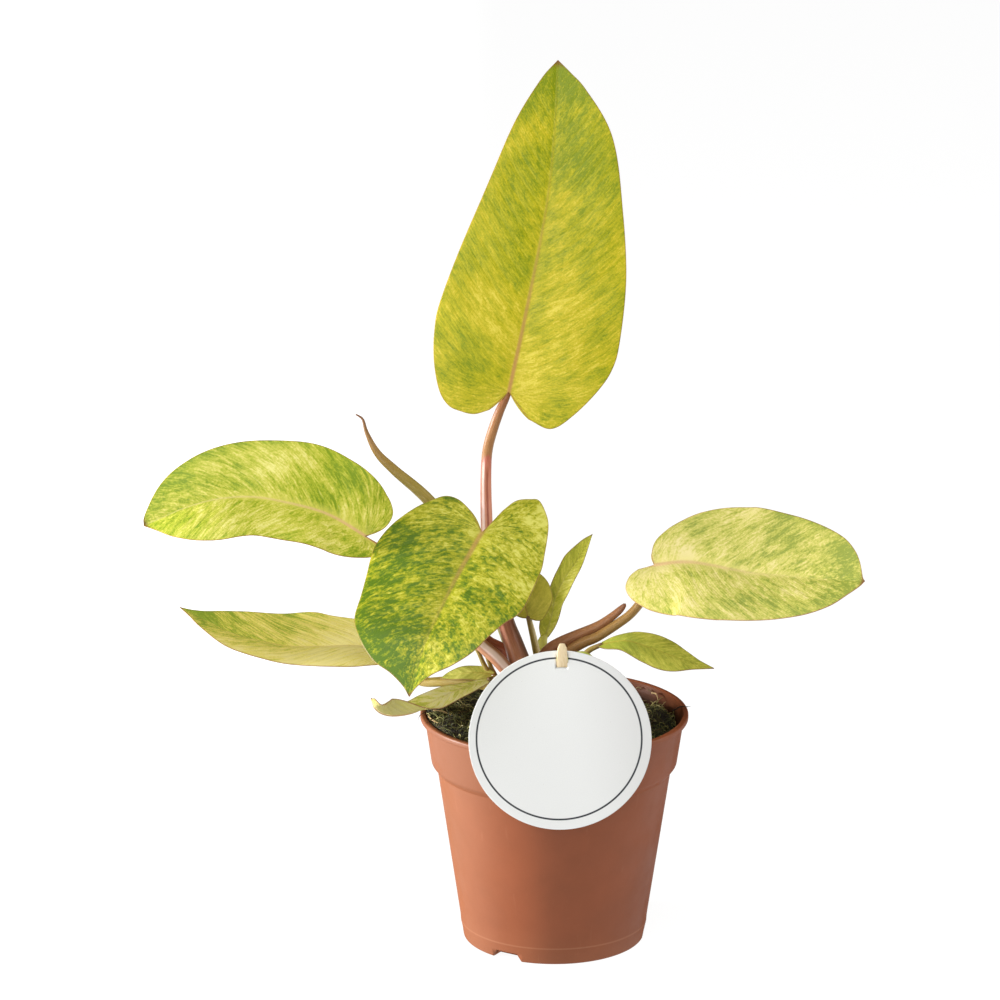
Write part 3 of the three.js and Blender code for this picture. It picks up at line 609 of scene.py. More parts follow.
def strandPiece(name, paths, radii, sides, material, tone):
    # closed tapering strands along paths of (strand, step, xyz), with a map of (tone, share along)
    count, steps = paths.shape[:2]
    ahead = unit(np.gradient(paths, axis=1))
    aside = unit(np.cross(ahead, np.array([0.31, 0.17, 0.94])))
    above = np.cross(aside, ahead)
    turn = 2 * np.pi * np.arange(sides) / sides
    wheel = (np.cos(turn)[:, None, None, None] * aside + np.sin(turn)[:, None, None, None] * above)
    share = np.linspace(0, 1, steps)
    taper = np.clip(1.15 - share ** 2.2, 0.12, 1)
    rings = paths + wheel * (radii[:, None] * taper)[None, :, :, None]
    points = rings.transpose(1, 2, 0, 3).reshape(-1, 3)
    faces = []
    for strand in range(count):
        base = strand * steps * sides
        faces.append(tuple(base + k for k in range(sides)))
        faces.append(tuple(base + (steps - 1) * sides + k for k in reversed(range(sides))))
        for step in range(steps - 1):
            a = base + step * sides
            for k in range(sides):
                b = (k + 1) % sides
                faces.append((a + k, a + sides + k, a + sides + b, a + b))
    look = np.column_stack([np.repeat(tone, steps * sides), np.tile(np.repeat(share, sides), count)])
    return meshPiece(name, points, faces, {"strand": look}, [material])


def mossColour(tree):
    tone, share, _ = split(tree, uvMap(tree, "strand"))
    colour = ramp(tree, tone, [(0.0, "272a12"), (0.3, "45481d"), (0.5, "696a30"), (0.66, "8c8648"),
                               (0.82, "b5aa6a"), (1.0, "dacb94")])
    # painted light on the curls: paler tips as a painted highlight, near black at their feet as painted shade
    # between them
    colour = blend(tree, fade(tree, share, 0.6, 1.0, 0, 0.35), colour, "b0ab66")
    return blend(tree, fade(tree, share, 0.7, 0.0, 0, 0.8), colour, "12140a")


def fibreColour(tree):
    tone = split(tree, uvMap(tree, "strand"))[0]
    streak = speckle(tree, place(tree), 700, 3, 0.6)
    colour = ramp(tree, tone, [(0.0, "2a1c10"), (0.4, "5a4328"), (0.75, "8c6f47"), (1.0, "b99a6b")])
    return blend(tree, fade(tree, streak, 0.4, 0.7, 0, 0.35), colour, "3a2817")


moss = {
    "curls": 5800,
    "steps": 6,
    "sides": 3,
    "spread": 56.4,
    "length": (3.0, 7.5),
    "radius": (0.11, 0.27),
    "rise": (25, 85),  # of a curl's first step, in degrees
    "bend": (60, 230),
    "tones": [(47, 15, 9, 0.35), (53, 9, 6, -0.3), (-46, -22, 10, 0.12)],  # across, deep, radius, gain
    "seed": 7,
}
fibres = {
    "count": 95,
    "steps": 12,
    "sides": 4,
    "spread": (50, 54.5),  # where they start, and how far out they may go
    "length": (12, 34),
    "radius": (0.14, 0.3),
    "seed": 12,
}
strays = [  # points, radius, tone
    ([[-57, -2, 104.6], [-55.2, -11.5, 105.6], [-51.4, -18.6, 105.6], [-46.2, -21.8, 105.2],
      [-41.8, -21.4, 104.6], [-37.6, -17.6, 102.4]], 0.42, 1.0),
    ([[-54.4, -6.6, 104.2], [-50.8, -14.2, 105.8], [-48.1, -14.9, 105.6], [-46.2, -10.6, 103.6]], 0.3, 0.8),
    ([[-51, 0, 103.6], [-54.6, -1, 105.9], [-57.4, -4, 106.2], [-60.2, -7.6, 105.6],
      [-60.5, -9, 103.6]], 0.3, 0.12),
    ([[-50, -8, 104.2], [-53.4, -12, 106], [-55.8, -16.4, 106.1], [-57.6, -19.2, 105.4]], 0.28, 0.2),
    ([[53, 6, 103.4], [56.6, 4.4, 105.9], [59, 4, 106], [61.2, 3.2, 106.3]], 0.3, 0.0),
    ([[44.6, 31.6, 103.6], [46.6, 28.4, 103.9], [47.4, 23.6, 102]], 0.36, 1.0),
    ([[37.6, 40.6, 102.8], [39.2, 39.6, 103.6], [40.4, 38.4, 103]], 0.3, 0.75),
    ([[43, 35.6, 103.9], [44, 34.8, 103.4], [44.6, 33.4, 103.8]], 0.3, 0.5),
    ([[-41.5, -8.4, 99], [-41.7, -9, 104], [-42.2, -9.8, 106]], 0.7, 0.6),
]


def buildMoss():
    draw = np.random.default_rng(moss["seed"])
    count, steps = moss["curls"], moss["steps"]
    turn = draw.uniform(0, 2 * np.pi, count)
    radius = moss["spread"] * draw.uniform(0.005, 1, count) ** 0.42
    x, y = radius * np.cos(turn), radius * np.sin(turn)
    z = soilHeight(x, y) - 0.5
    heading = draw.uniform(0, 2 * np.pi, count)
    pitch = np.radians(draw.uniform(*moss["rise"], count))
    bend = np.radians(draw.uniform(*moss["bend"], count)) / (steps - 1)
    sway = np.radians(draw.uniform(-120, 120, count)) / (steps - 1)
    step = draw.uniform(*moss["length"], count) / (steps - 1)
    path = np.empty((count, steps, 3))
    here = np.column_stack([x, y, z])
    for k in range(steps):
        path[:, k] = here
        flat = np.cos(pitch) * step
        here = here + np.column_stack([flat * np.cos(heading), flat * np.sin(heading), np.sin(pitch) * step])
        heading = heading + sway
        pitch = pitch - bend
    wall = insideRadius(path[:, :, 2]) - 0.4
    spread = np.hypot(path[:, :, 0], path[:, :, 1])
    over = (path[:, :, 2] > pot["height"] + 0.8) & (path[:, :, 0] < -20)  # curls that hang over the rim
    pull = np.where((spread > wall) & ~over, wall / np.maximum(spread, 1e-6), 1)
    path[:, :, :2] *= pull[:, :, None]
    tone = 0.38 + 0.45 * clouds(path[:, 0], 9, 3.0) + draw.normal(0, 0.2, count)
    for across, deep, radius, gain in moss["tones"]:
        tone += gain * np.exp(-((x - across) ** 2 + (y - deep) ** 2) / radius ** 2)
    tone = np.clip(tone, 0, 1)
    green = finishOf("mossGreen", mossColour, 0.75)
    thick = draw.uniform(*moss["radius"], count)
    dress(strandPiece("moss_tufts", path, thick, moss["sides"], green, tone), "potting_soil")


def buildFibres():
    draw = np.random.default_rng(fibres["seed"])
    count, steps = fibres["count"], fibres["steps"]
    turn = draw.uniform(0, 2 * np.pi, count)
    spread, edge = fibres["spread"]
    radius = spread * np.sqrt(draw.uniform(0.05, 1, count))
    heading = draw.uniform(0, 2 * np.pi, count)
    sway = draw.uniform(-1.6, 1.6, count) / (steps - 1)
    step = draw.uniform(*fibres["length"], count) / (steps - 1)
    lift = draw.uniform(0.8, 3.4, count)
    path = np.empty((count, steps, 3))
    x, y = radius * np.cos(turn), radius * np.sin(turn)
    for k in range(steps):
        reach = np.hypot(x, y)
        shrink = np.where(reach > edge, edge / reach, 1)
        x, y = x * shrink, y * shrink
        arch = 0.5 + 0.5 * math.sin(3.1 * k / steps)
        path[:, k] = np.column_stack([x, y, soilHeight(x, y) + lift * arch])
        x, y = x + step * np.cos(heading), y + step * np.sin(heading)
        heading = heading + sway
    husk = finishOf("dryFibre", fibreColour, 0.8)
    lines = [smoothLine(points) for points, _, _ in strays]
    placed = [sample(line, "place", np.linspace(0, line["length"], steps)) for line in lines]
    path = np.concatenate([path, placed])
    thick = np.append(draw.uniform(*fibres["radius"], count), [radius for _, radius, _ in strays])
    tone = np.append(draw.uniform(0.1, 1, count), [shade for _, _, shade in strays])
    dress(strandPiece("soil_fibres", path, thick, fibres["sides"], husk, tone), "potting_soil")


# Stem and stalks

stem = {
    "radius": 6.2,
    "bottom": 62.0,
    "top": 113.0,
    "back": 1.0,  # how far behind the pot's middle it stands
    "firstNode": 3.7,
    "nodeEvery": 11.0,
    "swell": 0.7,
    "sides": 48,
    "stops": [(0.35, "5d5a28"), (0.6, "7a7234"), (0.8, "8f6a3c")],
    "scar": "5a3a22",
}


def stalkLook(name, stops, flush=0.25, end=1.0, point=0.0, grooveLineAndHighlight=None, shaded=None, highlightStripe=None):
    # colours by `stops` along the stalk, with fine streaks and the marks that only some stalks have
    def colour(tree):
        turn, share, _ = split(tree, uvMap(tree, "tube"))
        wander = calc(tree, "SUBTRACT", speckle(tree, place(tree), 45, 3, 0.6), 0.5)
        wander = times(tree, wander, 0.05)
        off = apart(tree, turn, 0.5)
        wander = plus(tree, wander, times(tree, off, point))
        base = ramp(tree, plus(tree, share, wander), stops)
        flecks = joinXyz(tree, times(tree, turn, 60), times(tree, share, 26), 0.0)
        streaks = speckle(tree, flecks, 1.0, 4, 0.65, 0.3)
        base = blend(tree, fade(tree, streaks, 0.42, 0.7, 0, flush), base, "8f4632")
        base = blend(tree, fade(tree, streaks, 0.5, 0.28, 0, 0.22), base, "dcb58c")
        if shaded:
            dark = fade(tree, share, *shaded["share"], 0, shaded["strength"])
            dark = times(tree, dark, fade(tree, turn, *shaded["turn"]))
            base = blend(tree, dark, base, shaded["colour"])
        # a painted highlight: a pale band down the lit side of the stalk
        if highlightStripe:
            width = highlightStripe["width"]
            band = fade(tree, apart(tree, turn, highlightStripe["turn"]), width, width * 0.4, 0, highlightStripe["strength"])
            band = times(tree, band, fade(tree, share, *highlightStripe["starts"]))
            band = times(tree, band, fade(tree, share, *highlightStripe["stops"]))
            base = blend(tree, band, base, highlightStripe["colour"])
        # a line along the groove: dark on the tall stalk, and on the left stalk a pale painted highlight
        if grooveLineAndHighlight:
            width, start = grooveLineAndHighlight["width"], grooveLineAndHighlight["start"]
            line = fade(tree, off, width, width * 0.45, 0, grooveLineAndHighlight["strength"])
            line = times(tree, line, fade(tree, share, end, end - 0.04))
            line = times(tree, line, fade(tree, share, start, start + 0.25))
            base = blend(tree, line, base, grooveLineAndHighlight["colour"])
        return base

    def normal(tree):
        turn, share, _ = split(tree, uvMap(tree, "tube"))
        lines = joinXyz(tree, times(tree, turn, 90), times(tree, share, 9), 0.0)
        return relief(tree, speckle(tree, lines, 1.0, 3, 0.6), 0.12, 0.4)

    def rough(tree):
        return fade(tree, speckle(tree, place(tree), 240, 3, 0.6), 0.3, 0.7, 0.3, 0.45)

    return finishOf(name, colour, rough, normal, Specular_IOR_Level=0.35)


tallStops = [(0.0, "9a6248"), (0.18, "b57c60"), (0.34, "b06c50"), (0.46, "be7c62"), (0.6, "c98a70"),
             (0.74, "c67f68"), (0.797, "ad5a48"), (0.809, "96693a"), (0.9, "8c5e31"), (0.97, "7f4f2a"),
             (1.0, "8c5e35")]
pinkStops = [(0.0, "8a5038"), (0.3, "ab7558"), (0.5, "b27e5c"), (0.66, "ab7a54"), (0.85, "a3784a"),
             (1.0, "a2783f")]
oliveStops = [(0.0, "6e5a2c"), (0.35, "8d7c36"), (0.7, "948238"), (0.92, "8d7a38"), (1.0, "6f5730")]
spearStops = [(0.0, "7f7c34"), (0.4, "a5a443"), (0.8, "b4b14c"), (1.0, "b7b44c")]
rightStops = [(0.0, "764630"), (0.3, "865c36"), (0.6, "8a6c39"), (0.85, "95733f"), (1.0, "a88955")]
frontStops = [(0.0, "7c4630"), (0.4, "97573d"), (0.7, "a9673f"), (1.0, "b07a4e")]

thinStalk = {"groove": (0, -0.5, 1), "grooveDepth": 0.0, "finish": "olive_stalk", "sides": 20}

# Each stalk as [x, y, z, radius] from the stem or the soil up to its blade, and the way its groove faces. A
# sheath is a second piece that clasps the foot. The look is the finish's name with its colours along the
# stalk. Turns go once round a stalk, with 0.5 at the groove, and shares run from its foot to its blade.
stalks = {
    "tall_leaf_stalk": {
        "groove": (0.35, -1, 0.1), "grooveDepth": 0.3, "grooveEnd": 0.78, "point": 0.1,
        "grooveLineAndHighlight": {"colour": "8a4130", "strength": 0.75, "width": 0.05, "start": 0.2},
        "shaded": {"colour": "452718", "strength": 0.8, "turn": (0.49, 0.62), "share": (0.4, 0.3)},
        # a painted highlight down the stalk's lit left side
        "highlightStripe": {"colour": "f4ddd6", "strength": 0.7, "width": 0.06, "turn": 0.36,
                   "starts": (0.32, 0.45), "stops": (0.81, 0.76)},
        "look": ("tallStalk", tallStops),
        "finish": "copper_stalk", "sides": 32,
        "route": [[-3, -0.5, 97, 4.9], [-9.2, -1.5, 114, 5.3], [-14.6, -2, 126.8, 4.9],
                  [-18.7, 0, 138.2, 4.3], [-21.6, 2, 146.3, 3.8], [-27, 5, 165, 3.2], [-29.6, 6, 181.2, 2.8],
                  [-30.4, 5, 198.7, 2.6], [-30.5, 3, 213.6, 2.4], [-29.9, 1, 225.3, 2.3],
                  [-27.6, -0.5, 235, 2.2], [-24.4, -1.4, 244.4, 2.0], [-21.6, -0.9, 250.2, 1.6],
                  [-19.6, 0.6, 254.6, 0.8]],
    },
    "right_leaf_stalk": {
        "groove": (-0.3, -0.2, 1), "grooveDepth": 0.28, "look": ("rightStalk", rightStops),
        "finish": "copper_stalk", "sides": 28,
        "route": [[2.5, 1.5, 97, 3], [0.7, 1, 121.9, 2.9], [2.1, 0.5, 127.5, 2.8], [5, 0, 132.1, 2.7],
                  [8.7, -0.5, 135.3, 2.6], [13.4, -1, 138, 2.4], [19.1, -1.5, 140.6, 2.2],
                  [28.5, -2, 147.1, 2.1], [33.5, -2.5, 151.2, 2], [37.8, -3, 156.7, 2],
                  [42.2, -3.8, 165.3, 2], [44, -4, 170.6, 1.6], [44.4, -4.2, 174, 0.8]],
        "sheath": [[0, 3, 99, 2.8], [-4.6, 4, 114, 2.9], [-6.1, 4, 123.9, 2.9], [-4.9, 3.5, 129.5, 2.9],
                   [-1.6, 3, 133.7, 2.8], [3.1, 2.5, 136.8, 2.7], [8.8, 2, 139.7, 2.5], [19.1, 1, 144.7, 2.2],
                   [25.2, 0.5, 149.1, 1.9], [29.2, 0.2, 152.7, 1.6], [31.2, 0, 155, 0.9]],
        "sheathLook": ("rightSheath", [(0.0, "76432c"), (0.5, "8b5a3b"), (0.75, "8c613c"), (0.93, "8a5e3d"),
                                       (1.0, "7a4e34")]),
    },
    "front_leaf_stalk": {
        "groove": (0.3, -0.6, 1), "grooveDepth": 0.28, "look": ("frontStalk", frontStops),
        "finish": "copper_stalk", "sides": 28,
        "route": [[-5, 3, 96, 3], [-10, 3, 113, 3], [-16.3, 3, 126.2, 3], [-20.1, 4, 130.4, 2.9],
                  [-24.4, 5, 133.3, 2.7], [-29.6, 5, 136.3, 2.5], [-34.1, 5, 141.7, 2.4],
                  [-37.7, 3, 151.6, 2.3], [-38.3, 0, 164.1, 2.2], [-36.2, -5, 179.5, 2],
                  [-33.6, -9.2, 187.5, 1.6], [-32.6, -11.2, 191.4, 0.8]],
    },
    "left_leaf_stalk": {
        "groove": (-0.2, -1, 0.75), "grooveDepth": 0.06, "look": ("leftStalk", pinkStops),
        # a painted highlight: a pale band down the stalk's upper side
        "grooveLineAndHighlight": {"colour": "ffe0d6", "strength": 0.92, "width": 0.1, "start": -0.3},
        "finish": "pink_stalk", "sides": 28,
        "route": [[-5, -5, 95, 3.1], [-11.5, -5.8, 110, 3.2], [-17.8, -6, 121.6, 3.2], [-22, -6, 127.6, 3.2],
                  [-26.3, -5, 132.2, 3.2], [-31.5, -3, 136.3, 3], [-44.3, 1.5, 147.3, 2.5],
                  [-55.5, 5, 160.3, 2.3], [-71, 6, 175.2, 1.9], [-79, 5.6, 180.4, 1.5],
                  [-84.6, 4.6, 184.9, 0.8]],
    },
    "low_left_leaf_stalk": {
        "groove": (0.2, -0.3, 1), "grooveDepth": 0.28, "look": ("lowLeftStalk", oliveStops),
        "finish": "olive_stalk", "sides": 24,
        "route": [[-5.5, -2, 88, 2.9], [-11, -3.5, 104, 2.9], [-21, -4, 115, 2.7], [-36, 0, 118.8, 2.5],
                  [-49, 6, 117.2, 2.3], [-60, 12, 115.5, 2.1], [-69, 16, 121, 1.9], [-75.2, 16, 129, 1.4]],
    },
    "spear_leaf_stalk": {
        **thinStalk, "look": ("spearStalk", spearStops),
        "route": [[2, 6.5, 97, 2.4], [-2, 10.5, 116, 2.7], [-5.2, 13, 128, 2.7], [-5.3, 14, 133, 2.3],
                  [-4.2, 15, 136, 1.4]],
    },
    "round_leaf_stalk": {
        **thinStalk, "look": ("roundStalk", oliveStops),
        "route": [[-2.5, 8.5, 94, 1.6], [-6.8, 8, 123.6, 1.4], [-8.3, 8, 130.1, 1.3], [-10.2, 8, 138.6, 1],
                  [-11.9, 8, 146.8, 0.9]],
        "sheath": [[-3, 8, 96, 1.2], [-6.6, 8.5, 126, 1.2], [-7.9, 8.5, 132.6, 1.1], [-9.3, 8.5, 139.6, 0.9],
                   [-10.5, 8.5, 145.6, 0.4]],
        "sheathLook": ("roundSheath", [(0.0, "8d7c36"), (0.6, "c6b77a"), (0.85, "e0d3a4"), (1.0, "c9b883")]),
    },
    "low_right_leaf_stalk": {
        **thinStalk, "look": ("lowRightStalk", oliveStops),
        "route": [[4, -4, 94, 1.9], [7, -4.5, 116, 1.8], [9.8, -4.5, 126.5, 1.6], [14.5, -5.2, 134.6, 1.3],
                  [20.8, -6.2, 138.4, 1]],
    },
    "rim_leaf_stalk": {
        **thinStalk, "look": ("rimStalk", oliveStops),
        "route": [[-5, -8, 92, 2], [-10, -11.5, 108, 1.9], [-18, -14, 119.5, 1.7], [-29.4, -16.3, 125.6, 1]],
    },
    "under_leaf_stalk": {
        **thinStalk, "sides": 16, "look": ("underStalk", oliveStops),
        "route": [[-10, -9, 93, 1.3], [-15, -9.5, 112, 1.2], [-20.5, -7.5, 120, 1],
                  [-27.7, -3.9, 123.5, 0.8]],
    },
    "card_side_leaf_stalk": {
        **thinStalk, "sides": 16, "look": ("cardSideStalk", oliveStops),
        "route": [[1, -9, 93, 1.5], [-3, -10.5, 112, 1.3], [-4.8, -13.5, 132, 0.9]],
    },
    "hidden_leaf_stalk": {
        **thinStalk, "sides": 16, "look": ("hiddenStalk", oliveStops),
        "route": [[-12, 1, 93, 1.4], [-20, -1, 108, 1.3], [-28.7, -1, 122.5, 1.2], [-31.5, 0, 127.2, 1.1],
                  [-34.1, 1, 132.8, 0.9], [-40.3, 8, 141.8, 0.8]],
        "sheath": [[-12.5, 2, 96, 1.1], [-20, 0.5, 110.5, 1.1], [-26.8, 1, 122.4, 1.1],
                   [-29.2, 2.5, 127.4, 0.9], [-31.1, 4, 132.9, 0.7], [-33, 7, 141, 0.3]],
        "sheathLook": ("hiddenSheath", oliveStops),
    },
}

rolledLeaf = {
    "route": [[-7, 4.5, 98, 2.6], [-17, 11, 123, 2.7], [-25.5, 16.5, 146, 2.8], [-39, 18, 176, 2.9],
              [-55.9, 15, 199, 2.9], [-70.9, 13.2, 213.3, 2.4], [-78.6, 12.6, 221.5, 1.8],
              [-83.2, 13, 230.5, 1], [-85, 13.5, 236.6, 0.6], [-88, 14, 238.7, 0.35]],
    "faces": (0.4, -1, 0.6),
    "overlap": 0.16,
    "stops": [(0.0, "757030"), (0.4, "847d30"), (0.75, "8c7c36"), (0.9, "8a6a3a"), (1.0, "5f3a22")],
}


def tubePiece(name, route, faces, sides, shape, material, every=1.4):
    # a tapering tube round a route, whose radius `shape` changes by turn and share; turn 0 faces `faces`
    line = smoothLine(route)
    count = max(8, round(line["length"] / every))
    share = np.linspace(0, 1, count + 1)
    spots = sample(line, "place", share * line["length"])
    ahead = unit(sample(line, "slope", share * line["length"])[:, :3])
    look = np.array(faces, float)
    first = unit(look - ahead * (ahead @ look)[:, None])
    second = np.cross(ahead, first)
    turn = 2 * np.pi * (np.arange(sides) / sides) - np.pi
    radius = spots[:, 3][:, None] * shape(turn[None, :], share[:, None])
    rings = (spots[:, None, :3] + (np.cos(turn) * radius)[..., None] * first[:, None]
             + (np.sin(turn) * radius)[..., None] * second[:, None])
    ends = np.array([spots[0, :3], spots[-1, :3] + ahead[-1] * spots[-1, 3] * 0.8])
    points = np.vstack([rings.reshape(-1, 3), ends])
    faceList, corners = [], []
    for step in range(count):
        for side in range(sides):
            a = step * sides + side
            b = step * sides + (side + 1) % sides
            faceList.append((a, b, b + sides, a + sides))
            left, right = side / sides, (side + 1) / sides
            corners += [(left, share[step]), (right, share[step]), (right, share[step + 1]),
                        (left, share[step + 1])]
    foot, tip, last = len(points) - 2, len(points) - 1, count * sides
    for side in range(sides):
        after = (side + 1) % sides
        middle = (side + 0.5) / sides
        faceList.append((foot, after, side))
        corners += [(middle, 0), ((side + 1) / sides, 0), (side / sides, 0)]
        faceList.append((tip, last + side, last + after))
        corners += [(middle, 1), (side / sides, 1), ((side + 1) / sides, 1)]
    return meshPiece(name, points, faceList, {"tube": np.array(corners)}, [material])


def grooved(depth, end):
    def shape(turn, share):
        dip = np.cos(np.clip(turn / 0.62, -1, 1) * np.pi / 2) ** 1.5
        lips = 0.05 * np.exp(-((np.abs(turn) - 0.75) / 0.2) ** 2)
        kept = ease(share, end, end - 0.05)
        return 1 + (lips - depth * dip) * kept * (depth > 0) + 0.012 * np.sin(5 * turn + 9 * share)
    return shape


def sheathed(turn, share):
    # flatter where it lies on the stalk, with two thin edges
    edges = 0.1 * np.exp(-((np.abs(turn) - 1.9) / 0.25) ** 2)
    return 1 + edges - 0.1 * np.cos(turn) ** 2 + 0.02 * np.sin(3 * turn + 7 * share)


def furled(turn, share):
    # the free edge of a rolled blade stands a little proud of the turn below it
    return 1 - rolledLeaf["overlap"] * (turn + np.pi) / (2 * np.pi) + 0.008 * np.sin(2 * turn + 11 * share)


def stemColour(tree):
    where = place(tree)
    height = split(tree, where)[2]
    rings = calc(tree, "SINE", times(tree, height, 2 * math.pi / (stem["nodeEvery"] * mm)))
    green = ramp(tree, speckle(tree, where, 120, 4, 0.6), stem["stops"])
    return blend(tree, fade(tree, rings, 0.75, 0.98, 0, 0.7), green, stem["scar"])


def stemNormal(tree):
    return relief(tree, speckle(tree, place(tree), 500, 3), 0.3)


def buildStem():
    heights = np.linspace(stem["bottom"], stem["top"], 90)
    share = (heights - stem["bottom"]) / (stem["top"] - stem["bottom"])
    half = stem["nodeEvery"] / 2
    ringAt = np.abs((heights - stem["bottom"] - stem["firstNode"] + half) % stem["nodeEvery"] - half)
    radius = stem["radius"] * np.where(share > 0.75, 1 - 1.6 * (share - 0.75), 1)
    radius = radius + stem["swell"] * np.exp(-(ringAt / 1.1) ** 2)
    profile = np.column_stack([radius, heights])
    profile = np.vstack([[0, stem["bottom"]], profile, [0, stem["top"] + 1.5]])
    points, faces = spun(profile, stem["sides"])
    points = points + np.array([0, stem["back"], 0])
    skin = finishOf("stemSkin", stemColour, 0.5, stemNormal)
    dress(meshPiece("short_stem", points, faces, materials=[skin]), "stem_skin", "stem")


def buildStalks():
    for name, stalk in stalks.items():
        end = stalk.get("grooveEnd", 0.97)
        marks = {mark: stalk[mark] for mark in ("point", "grooveLineAndHighlight", "shaded", "highlightStripe") if mark in stalk}
        skin = stalkLook(*stalk["look"], end=end, **marks)
        shape = grooved(stalk["grooveDepth"], end)
        shaft = tubePiece(f"{name}_shaft", stalk["route"], stalk["groove"], stalk["sides"], shape, skin)
        dress(shaft, stalk["finish"], name)
        if "sheath" in stalk:
            skin = stalkLook(*stalk["sheathLook"])
            clasp = tubePiece(f"{name}_sheath", stalk["sheath"], (0, -0.5, 1), 24, sheathed, skin)
            dress(clasp, stalk["finish"])
    skin = stalkLook("rolledBlade", rolledLeaf["stops"], flush=0.1)
    roll = tubePiece("rolled_young_leaf", rolledLeaf["route"], rolledLeaf["faces"], 40, furled, skin)
    dress(roll, "rolled_blade", "rolled_leaf")


# Leaves

blade = {
    "slant": (0.9, 1.5),  # how steeply the veins climb at the base and at the tip
    "veinBow": 0.09,
    "rowEvery": 0.95,
    "columns": 26,
    "widest": 43,  # about half the width of the widest blade, by which the others are made finer
    "thickness": (0.34, 0.56),  # at the margin, away from it
    "keelDepth": 0.011,  # as a share of the blade's length
    "keelWidth": (0.5, 2.0),  # at the least, and what the widest blade adds
    "valley": (0.55, 2.3),  # depth and width of the dip along the midrib
    "rib": (0.42, 0.85),
    "vein": (0.16, 1.0),
    "swells": ((0.45, 17), (0.12, 6)),  # height and size of the broad ones and the small ones
    "foldChange": (0.42, 0.8),
    "marginLine": (0.55, 0.08, 0.12),  # mm in from the edge: where it starts, is full above, is full below
    "gloss": 0.22,
    "under": (0.45, "a3a562", 0.45),  # how far the underside is tinted, the tint, how far its veins show
    "underVein": "c9c39a",
    "underRib": "b08a5e",
    "dryEdge": "8a5a34",
}

# What the small leaves share. A patch and the mottle are (size, gain) and the streaks (width, run, gain).
plainLook = {
    "patch": (16, 0.9), "broad": (4, 10, 0.9), "fine": (1.4, 4, 1.0), "mottle": (1.0, 0.5),
    "lean": (0.0, 0.0, 0.0), "rib": ("a48e3a", "a0903a"), "ribWidth": 0.4, "ribDepth": (0.6, 0.3),
    "margin": "7f6530", "tip": "6b3d1c",
}
